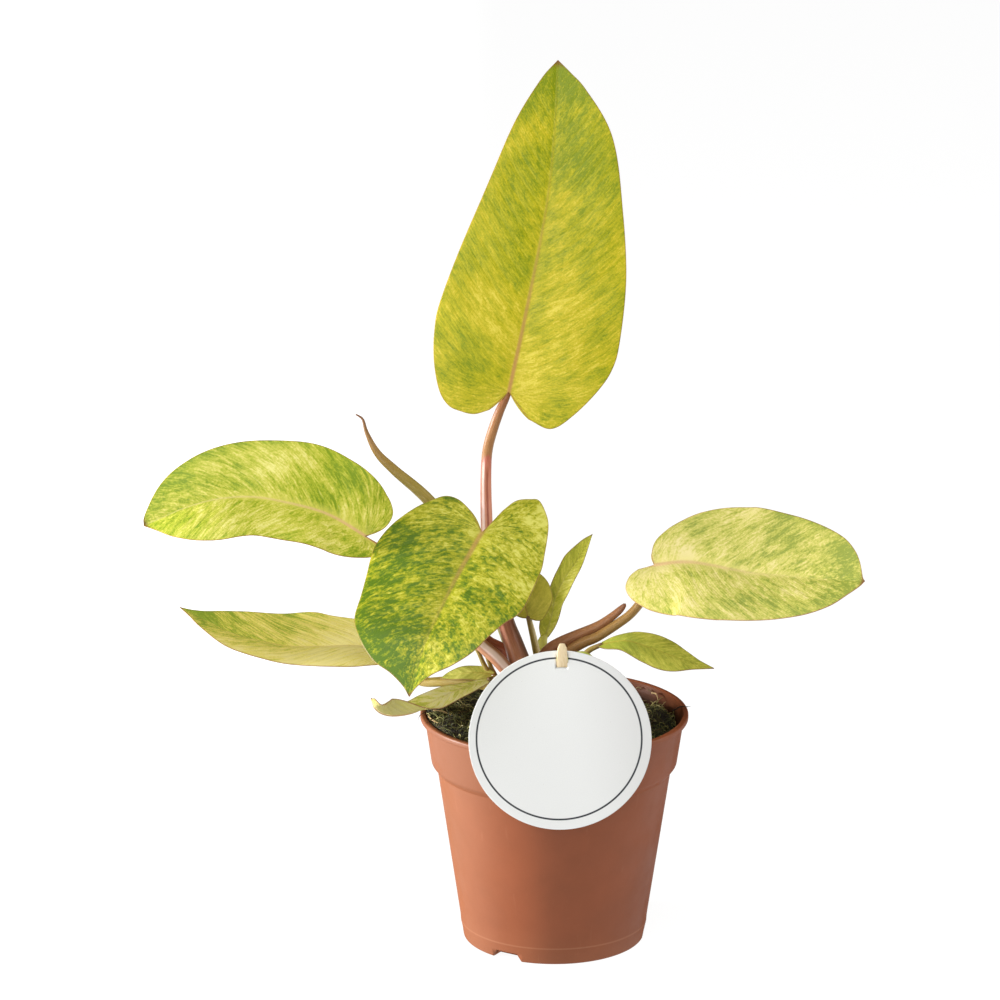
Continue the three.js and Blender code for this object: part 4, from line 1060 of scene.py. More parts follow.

# Each leaf with its midrib from the blade's base to the tip, the way that it faces, how far each half is
# folded up and curled on in degrees, and the waves of its margin. An outline runs from the back of the lobe
# to the tip as [across, along]; the first of a pair is on the right of someone who looks at the face. In a
# look, `stops` run from the greenest tone to the palest, and `lean` makes it paler by side, by tip and by
# edge, where the side part is painted light: one half paler than the other for how light falls on the two
# halves. A tint is (across, along, radius, gain), a soft paler or darker spot that is partly the leaf's own
# tone and partly painted light and shade.
leaves = {
    "tall_leaf": {
        "midrib": [[-20.4, -2, 253], [-12.5, 4, 289.4], [-4.6, 14, 328.8], [-0.7, 24, 360.2],
                   [1.1, 38, 393.1]],
        "face": (0.05, -0.97, 0.2), "fold": (8, 8), "curl": (-14, -14),
        "wave": (0.8, 3.5, 0.1), "veinEvery": 8.0, "finish": "lime_marbled_blade",
        "outlines": (
            [[11, -10], [21.5, -12], [30, -4], [38.5, 9.5], [42.5, 20], [43, 32], [40, 59.5], [33, 87.5],
             [25.5, 115.5], [13, 135], [6, 142.5], [0, 148.2]],
            [[7, -9.5], [13, -12.5], [19, -12.5], [25, -11], [30.5, -5], [35.5, 7.5], [38, 21], [38, 33.5],
             [33.5, 60.5], [26.5, 91], [18, 118.5], [7.5, 138.5], [0, 148.2]],
        ),
        "slant": ((0.75, 1.6), (0.75, 1.6)),
        "look": {
            "stops": [(0.2, "74820c"), (0.36, "909312"), (0.5, "a5a018"), (0.64, "b8aa23"), (0.82, "cdbe44")],
            "patch": (26, 0.75), "broad": (6, 11, 0.65), "fine": (1.3, 4.5, 0.95), "mottle": (0.9, 0.55),
            "lean": (0.0, -0.2, 0.0),
            "tintsAndShading": [(22, 30, 24, 0.03), (8, 8, 14, 0.12), (0, 134, 26, -0.16), (-22, 12, 18, -0.14),
                      (22, -6, 12, -0.12), (15, 108, 24, -0.15), (-12, 100, 18, -0.08), (32, 52, 18, -0.1)],
            "rib": ("ac7a48", "93852c"), "ribWidth": 0.8, "ribDepth": (0.85, 0.15), "halo": 0.3,
            "margin": "8a5a2c", "tip": "6b3d1c", "seed": 1.0,
        },
    },
    "left_leaf": {
        "midrib": [[-84.2, 4, 185.6], [-99.1, 3, 195.1], [-116.2, 0, 201.5], [-136.7, -3, 205.5],
                   [-157.6, -8, 203.7], [-180.9, -14, 195.4]],
        "face": (0, -0.62, 0.78), "fold": (18, 22), "curl": (-9, -20),
        "wave": (0.5, 3, 0.3), "veinEvery": 6.5, "finish": "cream_marbled_blade",
        "outlines": (
            [[4.5, -4], [8.5, -6.5], [14, -7], [18, -5], [22, 0.5], [28, 15.5], [30.5, 28], [28.5, 47.5],
             [25, 64], [20.5, 78.5], [14, 91], [4.5, 102], [0, 104.5]],
            [[0.6, -6.5], [4, -8.5], [9, -7], [14, -2], [20, 8], [24, 22], [25, 35], [25.5, 50], [27, 65],
             [26.5, 76], [22.5, 87], [15, 95.5], [6, 101], [0, 104.5]],
        ),
        "slant": ((0.75, 1.6), (0.75, 1.6)),
        "look": {
            "stops": [(0.2, "79901e"), (0.36, "9ba72a"), (0.5, "b5b73f"), (0.64, "cbc65a"), (0.82, "ded880")],
            "patch": (24, 0.85), "broad": (5, 14, 0.85), "fine": (1.5, 5.5, 1.15), "mottle": (1.0, 0.6),
            "lean": (-0.03, 0.0, -0.1),
            "tintsAndShading": [(18, 48, 14, 0.14), (20, 18, 14, -0.15), (18, 85, 12, -0.12), (-18, 80, 16, -0.12),
                      (0, 45, 7, 0.12), (4, 84, 14, -0.1), (-9, 90, 14, -0.2)],
            "rib": ("cfa47a", "d6cb80"), "ribWidth": 0.8, "ribDepth": (0.8, 0.4), "halo": 0.6,
            "margin": "96702c", "tip": "5e3417", "seed": 2.0,
        },
    },
    "front_leaf": {
        "midrib": [[-32.2, -12, 192], [-41.3, -32, 181], [-51.1, -58, 168.4], [-57.7, -76, 157.8],
                   [-63.1, -90, 141.2]],
        "face": (-0.25, -0.75, 0.6), "fold": (6, 6), "curl": (-17, -17),
        "wave": (0.4, 2.5, 0.6), "veinEvery": 7.0, "finish": "green_marbled_blade",
        "outlines": (
            [[10, -11], [17.5, -16], [24, -17], [29, -13.5], [35.5, -6.5], [41, 3.5], [43.5, 18],
             [40.5, 35.5], [38, 50], [36, 62.5], [32.5, 70.5], [26, 79.5], [19, 86], [11, 90], [4, 95],
             [0, 99.5]],
            [[4, -15.5], [7.5, -22.5], [13.5, -25], [17.5, -25], [23.5, -18], [27.5, -10.5], [31.5, 3.5],
             [34.5, 16], [35.5, 33], [35, 47], [30.5, 56], [27.5, 63.5], [23, 74.5], [16, 82.5], [7.5, 88.5],
             [2, 95], [0, 99.5]],
        ),
        "slant": ((0.4, 0.9), (0.5, 1.0)),
        "look": {
            "stops": [(0.2, "4d6710"), (0.36, "6e7e12"), (0.5, "8d9019"), (0.66, "a8a42c"), (0.92, "c2bf58")],
            "patch": (18, 0.9), "broad": (4, 9, 0.9), "fine": (1.9, 4.6, 1.35), "mottle": (1.7, 0.95),
            "lean": (-0.13, -0.2, 0.0),
            "tintsAndShading": [(-24, -8, 14, 0.05), (0, 0, 12, 0.08), (25, -9, 11, 0.08), (25, 20, 20, -0.17),
                      (13, 70, 20, -0.18), (-15, 34, 26, -0.13), (-16, 68, 18, -0.06)],
            "rib": ("a87848", "8f8638"), "ribWidth": 1.05, "ribDepth": (0.7, 0.15), "halo": 0.3,
            "margin": "8f6a34", "tip": "6b3d1c", "seed": 3.0,
        },
    },
    "right_leaf": {
        "midrib": [[43.9, -4, 174.6], [60.5, -8, 176.9], [79.1, -16, 175.8], [97.7, -22, 174.8],
                   [134.9, -34, 176.1]],
        "face": (0, -0.62, 0.78), "fold": (10, 12), "curl": (-14, -14),
        "wave": (0.22, 3, 0.8), "veinEvery": 6.5, "finish": "cream_marbled_blade",
        "outlines": (
            [[2, -7], [6.5, -10.5], [13, -11.5], [19, -8.5], [24, -2.5], [28, 4.5], [30.2, 12], [31, 20],
             [31, 28.5], [29.8, 37], [27, 51], [24.5, 62.5], [21, 74.5], [15.5, 84], [8.5, 90.5],
             [3.5, 94.5], [0, 96.2]],
            [[5, -1.5], [11.5, 0], [16.5, 5.5], [21, 11.5], [29.5, 21.5], [33, 31], [33.5, 45], [31.5, 59.5],
             [27, 72.5], [21.5, 83], [15.5, 89], [9.5, 92.5], [2, 95], [0, 96.2]],
        ),
        "slant": ((1.0, 1.8), (0.65, 1.4)),
        "look": {
            "stops": [(0.2, "869236"), (0.36, "a5a742"), (0.5, "bbb656"), (0.64, "ccc26e"), (0.82, "d8cb8a")],
            "patch": (24, 0.9), "broad": (5, 12, 0.9), "fine": (1.5, 4.5, 1.1), "mottle": (1.0, 0.7),
            "lean": (0.0, -0.3, -0.05),
            "tintsAndShading": [(-22, 38, 16, -0.15), (4, 42, 18, 0.1), (0, 88, 18, -0.1), (-4, 14, 9, 0.16)],
            "rib": ("c49870", "c2b272"), "ribWidth": 0.85, "ribDepth": (0.75, 0.0), "halo": 0.45,
            "margin": "a8784c", "tip": "6b3624", "seed": 4.0,
        },
    },
    "low_left_leaf": {
        "midrib": [[-74.6, 16, 128.9], [-89.9, 16, 130.7], [-105.1, 15, 130.6], [-121.7, 14, 131.4],
                   [-140.8, 12, 136.7], [-156.2, 10, 144.3], [-167.4, 8, 151.5]],
        "face": (0, -0.3, 0.95), "fold": (10, 12), "curl": (-12, -15),
        "wave": (0.5, 3, 0.2), "veinEvery": 6.0, "finish": "cream_marbled_blade",
        "outlines": (
            [[4, -6], [9, -8], [14, -3], [17, 8], [21.5, 22], [24.5, 33], [23.5, 48], [18, 64.5], [12.5, 76],
             [6.5, 85], [2, 93], [0, 98]],
            [[4, -6], [9, -7], [13, -2], [16, 6], [19, 17.5], [18.5, 30.5], [16.5, 43], [16, 54.5],
             [15.5, 65], [13.5, 76], [8, 87.5], [3.5, 93], [0, 98]],
        ),
        "slant": ((1.5, 2.4), (1.5, 2.4)),
        "look": {
            "stops": [(0.1, "8ba136"), (0.24, "b6bb48"), (0.38, "d6ce5e"), (0.52, "eadb78"),
                      (0.74, "f3e598")],
            "patch": (24, 0.8), "broad": (4, 14, 0.8), "fine": (1.4, 5.5, 1.2), "mottle": (1.0, 0.5),
            "lean": (-0.16, -0.3, 0.0),
            "tintsAndShading": [(0, 20, 20, 0.25), (0, 88, 14, -0.2)],
            "rib": ("c9a86c", "b8a35e"), "ribWidth": 0.55, "ribDepth": (0.5, 0.2),
            "margin": "96703c", "tip": "6b3d1c", "seed": 5.0,
        },
    },
    "low_right_leaf": {
        "midrib": [[19.7, -6, 138.1], [31.1, -10, 141.2], [42.1, -14, 139.2], [53, -18, 136.3],
                   [61.8, -21, 134.5], [70.2, -23, 132.6]],
        "face": (0.1, -0.45, 0.9), "fold": (8, 8), "curl": (-10, -10),
        "wave": (0.4, 2.5, 0), "veinEvery": 5.0, "finish": "olive_blade",
        "outlines": (
            [[2, 0.5], [4.5, 4.5], [6.5, 11], [9, 19], [11, 25.5], [11.5, 32], [9, 40], [4.5, 47], [0, 54.8]],
            [[1.5, 1.5], [3, 5.5], [4.5, 11], [7, 16.5], [8.5, 24], [8, 33], [5, 40.5], [2.2, 47], [0, 54.8]],
        ),
        "look": {
            **plainLook, "seed": 6.0,
            "stops": [(0.2, "8b9233"), (0.45, "abab42"), (0.65, "bfbb50"), (0.88, "d0ca68")],
            "tintsAndShading": [(0, 12, 18, -0.32)],
        },
    },
    "rim_leaf": {
        "midrib": [[-28.9, -16, 125.2], [-44.2, -25, 122.6], [-55.1, -34, 119.9], [-61.8, -39, 117.6],
                   [-69.4, -43, 117.3], [-75.2, -45.8, 118.9], [-78.9, -47.6, 122.2], [-80.6, -48.6, 127]],
        "face": (0, -0.45, 0.9), "fold": (8, 4), "foldPastMiddle": (20, 100), "curl": (-8, 8),
        "wave": (0.3, 2, 0), "veinEvery": 5.0, "finish": "cream_marbled_blade",
        "outlines": (
            [[1.5, 0.5], [3, 12.5], [5.5, 22], [6.5, 33], [6, 45], [4, 56], [1.5, 64], [0, 68]],
            [[2, 1.5], [4.5, 11], [6, 22], [6.5, 30], [7.5, 39], [8.5, 48], [8.5, 56], [7, 61], [3, 66],
             [0, 68]],
        ),
        "slant": ((1.5, 2.4), (1.5, 2.4)),
        "look": {
            "stops": [(0.2, "cfd25c"), (0.34, "ebe67c"), (0.48, "f8ef9c"), (0.62, "fcf4b4"),
                      (0.84, "fdf7c8")],
            "patch": (16, 1.1), "broad": (4, 12, 1.1), "fine": (1.4, 4, 1.1), "mottle": (1.0, 0.5),
            "lean": (0.0, 0.0, 0.0), "under": (0.85, "978f46", 0.1),
            "rib": ("e0cc84", "d2bd78"), "ribWidth": 0.4, "ribDepth": (0.4, 0.3),
            "margin": "9a7448", "tip": "5e3417", "seed": 7.0,
        },
    },
    "under_leaf": {
        "midrib": [[-27, -4, 123.5], [-33.2, -2, 123.8], [-41.3, 0, 122.8], [-51.1, 2, 119.8]],
        "face": (0, -0.45, 0.9), "fold": (8, 8), "curl": (-8, -8),
        "wave": (0.2, 2, 0), "veinEvery": 4.0, "finish": "olive_blade",
        "outlines": (
            [[1.5, 0], [4, 6], [4.4, 14], [2.8, 21], [0, 25.2]],
            [[1.5, 0], [4.5, 5.5], [4.5, 13], [2.5, 20], [0, 25.2]],
        ),
        "look": {
            **plainLook, "seed": 8.0,
            "stops": [(0.2, "9a9f45"), (0.45, "b5b652"), (0.65, "c8c462"), (0.88, "d8d37c")],
            "patch": (12, 0.9), "broad": (3, 8, 0.9), "fine": (1.2, 4, 1.0), "ribWidth": 0.3,
        },
    },
    "round_leaf": {
        "midrib": [[-11.8, 8, 146.4], [-14, 10, 155.5], [-16.7, 13, 164], [-18.9, 17, 170.7]],
        "face": (0.1, -0.95, 0.3), "fold": (8, 8), "curl": (-8, -8),
        "wave": (0.3, 2, 0), "veinEvery": 4.0, "finish": "olive_blade",
        "outlines": (
            [[2.5, -1.5], [5.5, -2.5], [9, 0.5], [12.5, 5.5], [13, 9.5], [12.5, 13], [10.5, 17], [5, 24],
             [0, 27.1]],
            [[1.5, 0.5], [3.5, 1], [6.5, 3.5], [9, 7], [10.5, 10.5], [10.5, 14], [9, 18], [4.5, 24],
             [0, 27.1]],
        ),
        "look": {
            **plainLook, "seed": 9.0,
            "stops": [(0.2, "9e972e"), (0.45, "b5ac39"), (0.65, "c5ba45"), (0.88, "d9cb5a")],
            "patch": (14, 0.8), "broad": (3, 8, 0.7), "fine": (1.2, 4, 0.7),
            "rib": ("946c34", "948834"), "ribWidth": 0.35, "margin": "7f5f30",
        },
    },
    "spear_leaf": {
        "midrib": [[-4.1, 15, 134.8], [-1.3, 16, 144.5], [0.3, 17, 152.5], [3.9, 18, 160.6],
                   [10.6, 20, 170.3], [17.2, 22, 181.5]],
        "face": (0.1, -0.95, 0.3), "fold": (25, 25), "curl": (0, 0),
        "wave": (0.2, 2, 0), "veinEvery": 5.0, "finish": "olive_blade",
        "outlines": (
            [[1.5, 1], [3.2, 7], [4.2, 16.5], [5, 24.5], [3.8, 35.5], [2.2, 43], [0, 52.4]],
            [[2.5, 0.5], [4.8, 5], [5.2, 12], [4.5, 20], [5.5, 30], [6.5, 38], [3.5, 47], [0, 52.4]],
        ),
        "look": {
            **plainLook, "seed": 10.0,
            "stops": [(0.2, "9da12c"), (0.45, "bdbd3e"), (0.65, "d4cf56"), (0.88, "efea84")],
            "patch": (16, 0.8), "broad": (4, 12, 0.8), "fine": (1.4, 5, 0.9), "mottle": (1.0, 0.4),
            "lean": (0.15, 0.0, 0.0), "rib": ("bcb560", "a2943a"), "ribWidth": 0.35, "margin": "847230",
        },
    },
    "card_side_leaf": {
        "midrib": [[-5, -14, 131.8], [1.5, -20, 136.6], [7.5, -26, 139], [13, -31, 138.4], [17.6, -35, 136.2],
                   [21.8, -38, 132.3]],
        "face": (0.2, -0.3, 0.93), "fold": (6, 6), "curl": (-12, -12),
        "wave": (0.2, 2, 0), "veinEvery": 5.0, "finish": "olive_blade",
        "outlines": ([[1.5, -0.5], [5, 4], [7, 11], [7, 20], [4.5, 30], [0, 39]],) * 2,
        "look": {
            **plainLook, "seed": 11.0, "ribWidth": 0.35,
            "stops": [(0.2, "8f9a3a"), (0.45, "a9b046"), (0.65, "bcbd55"), (0.88, "cfc96b")],
        },
    },
    "hidden_leaf": {
        "midrib": [[-40, 8, 141], [-46, 11, 152], [-51, 14, 163], [-55, 19, 174]],
        "face": (0.1, -0.9, 0.4), "fold": (8, 8), "curl": (-8, -8),
        "wave": (0.3, 2, 0), "veinEvery": 4.5, "finish": "olive_blade",
        "outlines": ([[2, -2], [5, -3], [8.5, 1], [10.5, 8], [10, 17], [6, 28], [2.5, 33], [0, 36.7]],) * 2,
        "look": {
            **plainLook, "seed": 12.0,
            "stops": [(0.2, "7f8c21"), (0.45, "9ca42e"), (0.65, "b2b33d"), (0.88, "c6c054")],
        },
    },
}


def bladePoint(leaf, half, across, along):
    # the place on one half of the blade's middle surface, and the way up there at the midrib
    line = leaf["line"]
    length = line["length"]
    share = np.clip(along / length, 0, 1)
    ahead = unit(sample(line, "slope", share * length))
    centre = sample(line, "place", share * length) + ahead * np.minimum(along, 0)[:, None]
    look = np.array(leaf["face"], float)
    up = unit(look - ahead * (ahead @ look)[:, None])
    right = np.cross(ahead, up)
    near = leaf["fold"][half]
    far = leaf.get("foldPastMiddle", leaf["fold"])[half]
    fold = np.radians(near + (far - near) * ease(share, *blade["foldChange"]))
    bend = math.radians(leaf["curl"][half]) / leaf["widest"]
    if abs(bend) < 1e-9:
        out, rise = across * np.cos(fold), across * np.sin(fold)
    else:
        margin = fold + bend * across
        out = (np.sin(margin) - np.sin(fold)) / bend
        rise = (np.cos(fold) - np.cos(margin)) / bend
    height, count, phase = leaf["wave"]
    turn = 2 * np.pi * (count * along / length + phase) + half
    wave = height * (across / leaf["widest"]) ** 2 * np.sin(turn)
    side = 1 if half == 0 else -1
    return centre + right * (side * out)[:, None] + up * (rise + wave)[:, None], up


def bladeNormal(leaf, half, across, along, up):
    step = 0.3
    wide = bladePoint(leaf, half, across + step, along)[0] - bladePoint(leaf, half, across - step, along)[0]
    ahead = bladePoint(leaf, half, across, along + step)[0] - bladePoint(leaf, half, across, along - step)[0]
    normal = unit(np.cross(wide, ahead)) * (1 if half == 0 else -1)
    return unit(up + (normal - up) * ease(across, 0.0, 2.5)[:, None])


def bladeRows(leaf, half):
    # where each vein starts on the midrib and ends on the margin; those of the lobe fan out from the base
    outline = smoothLine(leaf["outlines"][half])
    spots = np.linspace(0, outline["length"], 900)
    margin = sample(outline, "place", spots)
    near, far = leaf["slant"][half] if "slant" in leaf else blade["slant"]
    lobe = max(0.6, spots[int(np.argmax(margin[:, 1] > near * margin[:, 0]))])
    fans = 1 + max(3, round(lobe / blade["rowEvery"]))
    rows = [(0, *sample(outline, "place", d), 0.0, 0.8 * (d - lobe)) for d in np.linspace(0, lobe, fans)]
    stations = leaf["stations"]
    reached = lobe
    for station in range(1, stations):
        start = leaf["line"]["length"] * station / stations
        climb = near + (far - near) * station / stations
        reach = np.maximum.accumulate(margin[:, 1] - climb * margin[:, 0])
        reached = min(max(np.interp(start, reach, spots), reached + 0.05), outline["length"] - 0.02)
        rows.append((station, *sample(outline, "place", reached), start, start))
    return np.array(rows), margin


def edgeDistance(across, along, margin, length):
    # how far each point lies from the margin of its half, the edge beside the stalk included
    line = np.vstack([[[0, 0]], margin, [[0, length]]])
    found = np.full(len(across), np.inf)
    spots = np.column_stack([across, along])
    for start, end in zip(line[:-1:2], line[2::2]):
        way = end - start
        share = np.clip((spots - start) @ way / max(way @ way, 1e-9), 0, 1)
        found = np.minimum(found, np.linalg.norm(spots - start - share[:, None] * way, axis=1))
    return found


def bladeRelief(leaf, net):
    # how far the upper face stands above the smooth blade: the midrib's valley, the veins and slow swells
    across, row, out, edge, spots = (net[key] for key in ("across", "row", "out", "edge", "spots"))
    share = net["along"] / leaf["line"]["length"]
    slim = leaf["widest"] / blade["widest"] * (1 - 0.65 * np.clip(share, 0, 1))
    depth, width = blade["valley"]
    valley = -depth * slim * np.exp(-(across / (width * slim + 0.2)) ** 2)
    height, width = blade["rib"]
    rib = height * slim * np.exp(-(across / (width * slim + 0.1)) ** 2)
    depth, width = blade["vein"]
    every = leaf["veinEvery"]
    away = np.abs((row / every + 0.5) % 1 - 0.5) * every
    kept = ease(out, 0.02, 0.12) * ease(out, 1.0, 0.72) * ease(share, 1.0, 0.85)
    veins = -depth * np.exp(-(away / width) ** 2) * kept * (0.3 + 0.7 * ease(row, 0, 7))
    (broad, broadSize), (small, smallSize) = blade["swells"]
    swell = broad * clouds(spots, broadSize, leaf["look"]["seed"]) + small * clouds(spots, smallSize, 5.0)
    swell = swell * ease(edge, 0.0, 9.0)
    return valley + rib + veins + swell * min(1.0, leaf["widest"] / 25)


def bladeNet(leaf):
    # the midrib's points, then those of each half, with what is known of each point, and the upper faces
    length, stations = leaf["line"]["length"], leaf["stations"]
    columns = round(blade["columns"] * (0.45 + 0.55 * leaf["widest"] / blade["widest"]))
    t = np.arange(1, columns + 1) / columns
    shares = t - 0.1 * np.sin(2 * np.pi * t)
    spine = np.linspace(0, length, stations + 1)
    nothing = np.zeros(stations + 1)
    spots, up = bladePoint(leaf, 0, nothing, spine)
    parts = [{"spots": spots, "normal": up, "across": nothing, "along": spine, "out": nothing,
              "row": spine, "side": nothing, "edge": np.minimum(12, length - spine)}]
    faces = []
    for half in (0, 1):
        rows, margin = bladeRows(leaf, half)
        root, endX, endY, start, vein = rows.T
        across = (endX[:, None] * shares).ravel()
        bow = 4 * shares * (1 - shares) * blade["veinBow"] * endX[:, None]
        along = (start[:, None] + (endY - start)[:, None] * shares - bow).ravel()
        out = np.tile(shares, len(rows))
        spots, up = bladePoint(leaf, half, across, along)
        first = sum(len(part["spots"]) for part in parts)
        parts.append({"spots": spots, "normal": bladeNormal(leaf, half, across, along, up),
                      "across": across, "along": along, "out": out, "row": np.repeat(vein, columns),
                      "side": out * (1 if half == 0 else -1),
                      "edge": edgeDistance(across, along, margin, length)})

        def put(*face):
            faces.append(face if half == 0 else face[::-1])

        root = root.astype(int).tolist()
        for index, (near, far) in enumerate(zip(root, root[1:])):
            low, high = first + index * columns, first + (index + 1) * columns
            if near == far:
                put(near, low, high)
            else:
                put(near, low, high, far)
            for column in range(columns - 1):
                put(low + column, low + column + 1, high + column + 1, high + column)
        last = first + (len(rows) - 1) * columns
        put(root[-1], last, stations)
        for column in range(columns - 1):
            put(last + column, last + column + 1, stations)
    return {key: np.concatenate([part[key] for part in parts]) for key in parts[0]}, faces


def bladePiece(name, leaf):
    # the blade as one closed mesh: upper face, underside with its keel, and a thin wall round the margin
    leaf["line"] = smoothLine(leaf["midrib"])
    leaf["widest"] = max(point[0] for outline in leaf["outlines"] for point in outline)
    length = leaf["line"]["length"]
    leaf["stations"] = round(length / blade["rowEvery"])
    net, faces = bladeNet(leaf)
    across, along, edge = net["across"], net["along"], net["edge"]
    rise = bladeRelief(leaf, net)
    margin, middle = blade["thickness"]
    thick = margin + (middle - margin) * ease(edge, 0.0, 5.0)
    slim = np.clip(1 - along / length, 0, 1)
    least, more = blade["keelWidth"]
    keelWidth = least + more * leaf["widest"] / blade["widest"] * (0.4 + 0.6 * slim)
    keel = blade["keelDepth"] * length * slim ** 0.8 * np.sqrt(np.clip(1 - (across / keelWidth) ** 2, 0, 1))
    over = net["spots"] + net["normal"] * (rise + thick / 2)[:, None]
    under = net["spots"] + net["normal"] * (0.8 * rise - thick / 2 - keel)[:, None]
    count = len(over)
    edges = dict.fromkeys((a, b) for face in faces for a, b in zip(face, face[1:] + face[:1]))
    wall = [(b, a, a + count, b + count) for a, b in edges if (b, a) not in edges]
    below = [tuple(v + count for v in face[::-1]) for face in faces]
    kinds = [0] * len(faces) + [1] * len(below) + [2] * len(wall)
    pairs = {
        "flat": (across * np.where(net["side"] < 0, -1, 1) / mapSize, along / mapSize),
        "rows": (net["row"] / mapSize, net["side"]),
        "edge": (edge / mapSize, along / length),
    }
    maps = {key: np.tile(np.column_stack(pair), (2, 1)) for key, pair in pairs.items()}
    return meshPiece(name, np.vstack([over, under]), faces + below + wall, maps, faceMaterials=kinds)


def bladeMaps(tree):
    # what the blade's maps say: lengths in units of mapSize, `side` from -1 to 1, `share` from base to tip
    layers = {"flat": ("across", "along"), "rows": ("row", "side"), "edge": ("edge", "share")}
    found = {}
    for layer, names in layers.items():
        found.update(zip(names, split(tree, uvMap(tree, layer))))
    return found


def marbling(tree, leaf):
    # colour from large patches, broad and fine streaks that follow the veins, a small mottle and soft tints,
    # with one side painted paler for how light falls and tints that are partly painted light and shade
    look = leaf["look"]
    at = bladeMaps(tree)
    flat = joinXyz(tree, at["across"], at["along"], look["seed"])
    out = calc(tree, "ABSOLUTE", at["side"])
    layer = plus(tree, times(tree, calc(tree, "SIGN", at["side"]), 3.1), look["seed"])

    def streaks(width, run, warp):
        climb = times(tree, out, leaf["widest"] / run / (mapSize / width))
        return speckle(tree, joinXyz(tree, at["row"], climb, layer), mapSize / width, 4, 0.6, warp)

    patch, patchGain = look["patch"]
    width, run, broadGain = look["broad"]
    fineWidth, fineRun, fineGain = look["fine"]
    mottle, mottleGain = look["mottle"]
    sideShading, byTip, byEdge = look["lean"]
    parts = [
        (speckle(tree, flat, mapSize / patch, 3, 0.55, 0.5), patchGain),
        (streaks(width, run, 0.5), broadGain),
        (streaks(fineWidth, fineRun, 0.7), fineGain),
        (speckle(tree, flat, mapSize / mottle, 3, 0.6), mottleGain),
    ]
    total = 0.5
    for value, gain in parts:
        total = plus(tree, total, times(tree, calc(tree, "SUBTRACT", value, 0.5), gain))
    # painted light: one half paler than the other, for how light falls on the two halves
    total = plus(tree, total, times(tree, at["side"], sideShading))
    total = plus(tree, total, times(tree, calc(tree, "SUBTRACT", at["share"], 0.4), byTip))
    if byEdge:
        total = plus(tree, total, fade(tree, at["edge"], 0.07, 0.0, 0, byEdge))
    # soft paler and darker spots: partly the leaf's own tone and partly painted light and shade
    for across, along, radius, gain in look.get("tintsAndShading", []):
        away = distance(tree, flat, joinXyz(tree, across / mapSize, along / mapSize, look["seed"]))
        total = plus(tree, total, fade(tree, away, radius / mapSize, 0.0, 0, gain))
    return ramp(tree, total, look["stops"])


def veinLine(tree, row, every, width):
    # 1 on a side vein and 0 away from it, with `every` and `width` in mm
    turn = calc(tree, "FRACT", plus(tree, times(tree, row, mapSize / every), 0.5))
    return fade(tree, times(tree, apart(tree, turn, 0.5), every), width, 0.0)


def upperColour(leaf):
    def colour(tree):
        look = leaf["look"]
        at = bladeMaps(tree)
        pale, palest = (code for _, code in look["stops"][-2:])
        base = marbling(tree, leaf)
        broken = speckle(tree, joinXyz(tree, at["row"], at["side"], look["seed"]), 12, 3)
        veins = veinLine(tree, at["row"], leaf["veinEvery"], 0.7)
        veins = times(tree, veins, fade(tree, calc(tree, "ABSOLUTE", at["side"]), 0.75, 0.05))
        veins = times(tree, veins, fade(tree, broken, 0.45, 0.7, 0, 0.45))
        base = blend(tree, veins, base, palest)
        width = look["ribWidth"] / mapSize
        ribWidth = fade(tree, at["share"], 0.0, 1.0, width, width / 3)
        near = calc(tree, "DIVIDE", calc(tree, "ABSOLUTE", at["across"]), ribWidth)
        if "halo" in look:  # a paler band beside the midrib
            halo = fade(tree, at["share"], 0.95, 0.35, 0, look["halo"])
            base = blend(tree, times(tree, fade(tree, near, 6.5, 1.2), halo), base, pale)
        rib = times(tree, fade(tree, near, 1.9, 0.2), fade(tree, at["share"], 0.0, 0.85, *look["ribDepth"]))
        base = blend(tree, rib, base, blend(tree, at["share"], *look["rib"]))
        start, full, _ = blade["marginLine"]
        line = fade(tree, at["edge"], start / mapSize, full / mapSize, 0, 0.6)
        base = blend(tree, line, base, look["margin"])
        return blend(tree, fade(tree, at["share"], 0.97, 0.998, 0, 0.9), base, look["tip"])
    return colour


def underColour(leaf):
    def colour(tree):
        look = leaf["look"]
        at = bladeMaps(tree)
        dull, tint, veined = look.get("under", blade["under"])
        base = blend(tree, dull, marbling(tree, leaf), tint)
        veins = times(tree, veinLine(tree, at["row"], leaf["veinEvery"], 0.9), veined)
        base = blend(tree, veins, base, blade["underVein"])
        near = calc(tree, "DIVIDE", calc(tree, "ABSOLUTE", at["across"]), look["ribWidth"] * 2 / mapSize)
        base = blend(tree, fade(tree, near, 1.2, 0.7, 0, 0.85), base, blade["underRib"])
        start, _, full = blade["marginLine"]
        line = fade(tree, at["edge"], start / mapSize, full / mapSize, 0, 0.75)
        return blend(tree, line, base, look["margin"])
    return colour


def marginColour(leaf):
    def colour(tree):
        return blend(tree, speckle(tree, place(tree), 300, 3), leaf["look"]["margin"], blade["dryEdge"])
    return colour


def bladeNormalMap(leaf):
    def normal(tree):
        at = bladeMaps(tree)
        fine = veinLine(tree, at["row"], leaf["veinEvery"] / 5, 0.35)
        lines = joinXyz(tree, times(tree, at["row"], 260), times(tree, at["side"], 9), 0.0)
        grain = speckle(tree, lines, 1.0, 3, 0.6)
        pores = speckle(tree, joinXyz(tree, at["across"], at["along"], 0.0), 260, 2, 0.5)
        height = plus(tree, grain, times(tree, pores, 0.5))
        return relief(tree, calc(tree, "SUBTRACT", height, times(tree, fine, 0.5)), 0.1, 0.6)
    return normal


def upperRough(tree):
    return fade(tree, speckle(tree, place(tree), 130, 4, 0.6), 0.3, 0.7, 0.33, 0.45)


